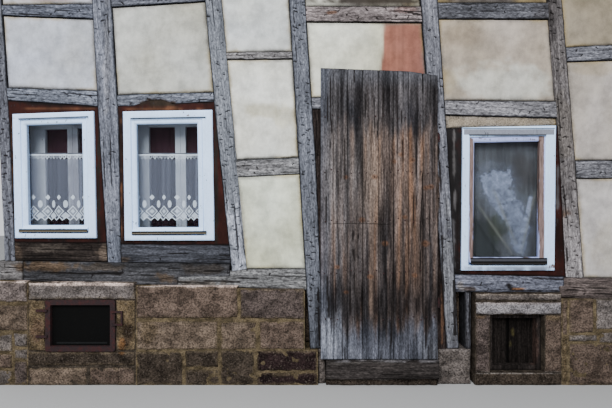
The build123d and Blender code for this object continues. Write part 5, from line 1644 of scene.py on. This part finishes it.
def door_colours(points):
    """The colour of the boards by height and by streak."""
    across, height = points[:, 0], points[:, 2]
    stretched = points * np.array((1.0, 0.0, 1.0))
    streak = layered_noise(stretched, (30.0, 1.0, 1.1), 3, 101)
    fine = layered_noise(stretched, (95.0, 1.0, 2.5), 2, 102)
    wander = 0.09 * layered_noise(stretched, (24.0, 1.0, 2.0), 3, 103)
    grey = np.array(rgb(104, 103, 108)[:3])
    black = np.array(rgb(26, 24, 26)[:3])
    bleached = np.array(rgb(106, 110, 123)[:3])
    below_head = step_down(height, 1.8, 1.95)
    leaning_right = step_up(across, 0.0, 0.45)

    colours = np.zeros(points.shape) + grey
    over(colours, rgb(118, 99, 89), np.clip(0.35 + 0.5 * leaning_right + 0.5 * streak, 0, 1))
    over(colours, rgb(136, 104, 80), step_up(streak + 0.5 * fine, 0.35, 0.95) * (0.3 + 0.5 * leaning_right))
    over(colours, black, step_up(-streak - 0.5 * fine, 0.3, 0.9) * 0.8)
    colours *= (0.72 + 0.33 * step_up(height, 0.7, 1.1))[:, None]

    sooty = black + (grey * 0.85 - black) * np.clip(0.38 + 0.7 * streak + 0.35 * fine, 0, 1)[:, None]
    over(colours, sooty, 0.92 * step_up(height + wander * 1.3, 1.76, 1.92))
    over(colours, rgb(90, 91, 98), 0.75 * step_up(height, 2.13, 2.26))
    mould = step_up(0.84 - np.abs(height - 0.60 + wander) * 3.2, 0.1, 0.8)
    over(colours, black, 0.92 * mould * (0.6 + 0.4 * step_up(streak, -0.6, 0.4)))

    middle = bell(across - 0.42, 0.2) * step_up(height, 0.24, 0.42)
    washed = bleached * (0.9 + 0.35 * streak + 0.2 * fine - 0.45 * middle)[:, None]
    over(colours, washed, 0.92 * step_down(height + wander * 1.2, 0.36, 0.50))
    line = bell(across - 0.305, 0.014) * step_up(height, 0.45, 0.6) * below_head
    over(colours, rgb(142, 122, 106), 0.6 * line)
    line = bell(across - 0.075, 0.016) * step_up(height, 0.9, 1.2) * below_head
    over(colours, rgb(132, 120, 114), 0.55 * line)
    over(colours, rgb(88, 92, 104), 0.75 * step_down(across, -0.03, 0.03))

    for x, z, reach_x, reach_z, tint, strength in DOOR_PATCHES:
        away = np.hypot((across - x) / reach_x, (height - z + wander) / reach_z)
        patch = np.array(tint[:3]) * (1.0 + 0.5 * streak + 0.2 * fine)[:, None]
        over(colours, patch, strength * bell(away, 1.0))
    for x, z, reach in DOOR_KNOTS:
        away = np.hypot((across - x) / reach, (height - z) / (0.8 * reach))
        over(colours, KNOT_RING, 0.6 * step_down(away, 0.7, 1.6))
        over(colours, KNOT_HEART, 0.85 * step_down(away, 0.2, 0.5))
    return np.clip(colours, 0.0, 1.0)


# %% The leaf
def door_leaf():
    """The boards as one piece on the door, each weathered by itself."""
    draw = random.Random(100)
    solids = solids_of("door_boards")
    weathers = [weathered_timber(bm, BOARD, draw) for bm in solids]
    piece, ranges = joined("door_boards_weathered", solids)
    points = points_of(piece)
    moved, grain = points.copy(), points.copy()
    scar = np.zeros(len(points))
    colours = door_colours(points)
    for rows, weather in zip(ranges, weathers):
        moved[rows], grain[rows], scar[rows], edge = weather(points[rows])
        colours[rows] *= draw.uniform(0.88, 1.12)
        # Painted shade: each board darker near its edges, in the joints between the boards.
        colours[rows] *= (1.0 - step_down(edge, 0.0, 0.007) * 0.4)[:, None]
    for x0, x1, z in SLITS:
        line = np.abs(points[:, 2] - z - 0.003 * np.sin(points[:, 0] * 9.0))
        inside = step_up(points[:, 0], x0, x0 + 0.03) * step_down(points[:, 0], x1 - 0.03, x1)
        scar = np.maximum(scar, 0.55 * inside * step_down(line, 0.002, 0.008))
    write_points(piece, moved)
    write_values(piece, grain=grain, scar=scar, tint=with_alpha(colours))
    finish_piece(piece, door_wood, ("door_boards",), "door")
    print("door", len(points), "points")


door_leaf()
timber("door_ledges", [rgb(104, 92, 82)], PLANK, door_wood, 104, body="door")

# %% [markdown]
# Hand-made nails hold the boards to the ledges, two in each board. Their heads are small
# domes, pressed a little into the wood and never quite in a row. A sphere of few faces,
# flattened, is enough for a head of a centimetre. They ride on the door with its boards.

# %% Nails of the door
NAIL_RADIUS = 0.0055
NAIL_SHARES = (0.27, 0.76)
door_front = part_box("door_boards")[0].y
ledge_levels = []
for bm in solids_of("door_ledges"):
    ledge_levels.append(sum(v.co.z for v in bm.verts) / len(bm.verts))
    bm.free()
nail_bm = bmesh.new()
nail_draw = random.Random(110)
for low, high in boxes_of("door_boards"):
    for level in ledge_levels:
        for share in NAIL_SHARES:
            place = Vector((low.x + (high.x - low.x) * share, door_front, level))
            place += Vector((nail_draw.uniform(-0.008, 0.008), 0.001, nail_draw.uniform(-0.014, 0.014)))
            radius = NAIL_RADIUS * nail_draw.uniform(0.8, 1.1)
            head = bmesh.ops.create_uvsphere(nail_bm, u_segments=10, v_segments=6, radius=radius)
            bmesh.ops.scale(nail_bm, verts=head["verts"], vec=(1.0, 0.55, 1.0))
            bmesh.ops.translate(nail_bm, verts=head["verts"], vec=place)
nails, _ = joined("door_nails", [nail_bm])
finish_piece(nails, rusty_iron, body="door")
print("nail points", len(nails.data.vertices))

# %% [markdown]
# Straps, pintles, rods, panes and the hatch are as plain as their CAD pieces, so those are
# kept and only get a finish. A copy of them would show no more.

# %% Finish the CAD pieces that keep their own shape
kept_finish = {
    "window_panes": old_glass,
    "curtain_rods": rod_metal,
    "door_straps": rusty_iron,
    "door_pintles": rusty_iron,
    "hatch_frame": rusty_iron,
    "hatch_panel": black_iron,
}
for name, finish in kept_finish.items():
    cad[name].data.materials.clear()
    cad[name].data.materials.append(finish)
print(len(kept_finish), "CAD pieces keep their own shape")
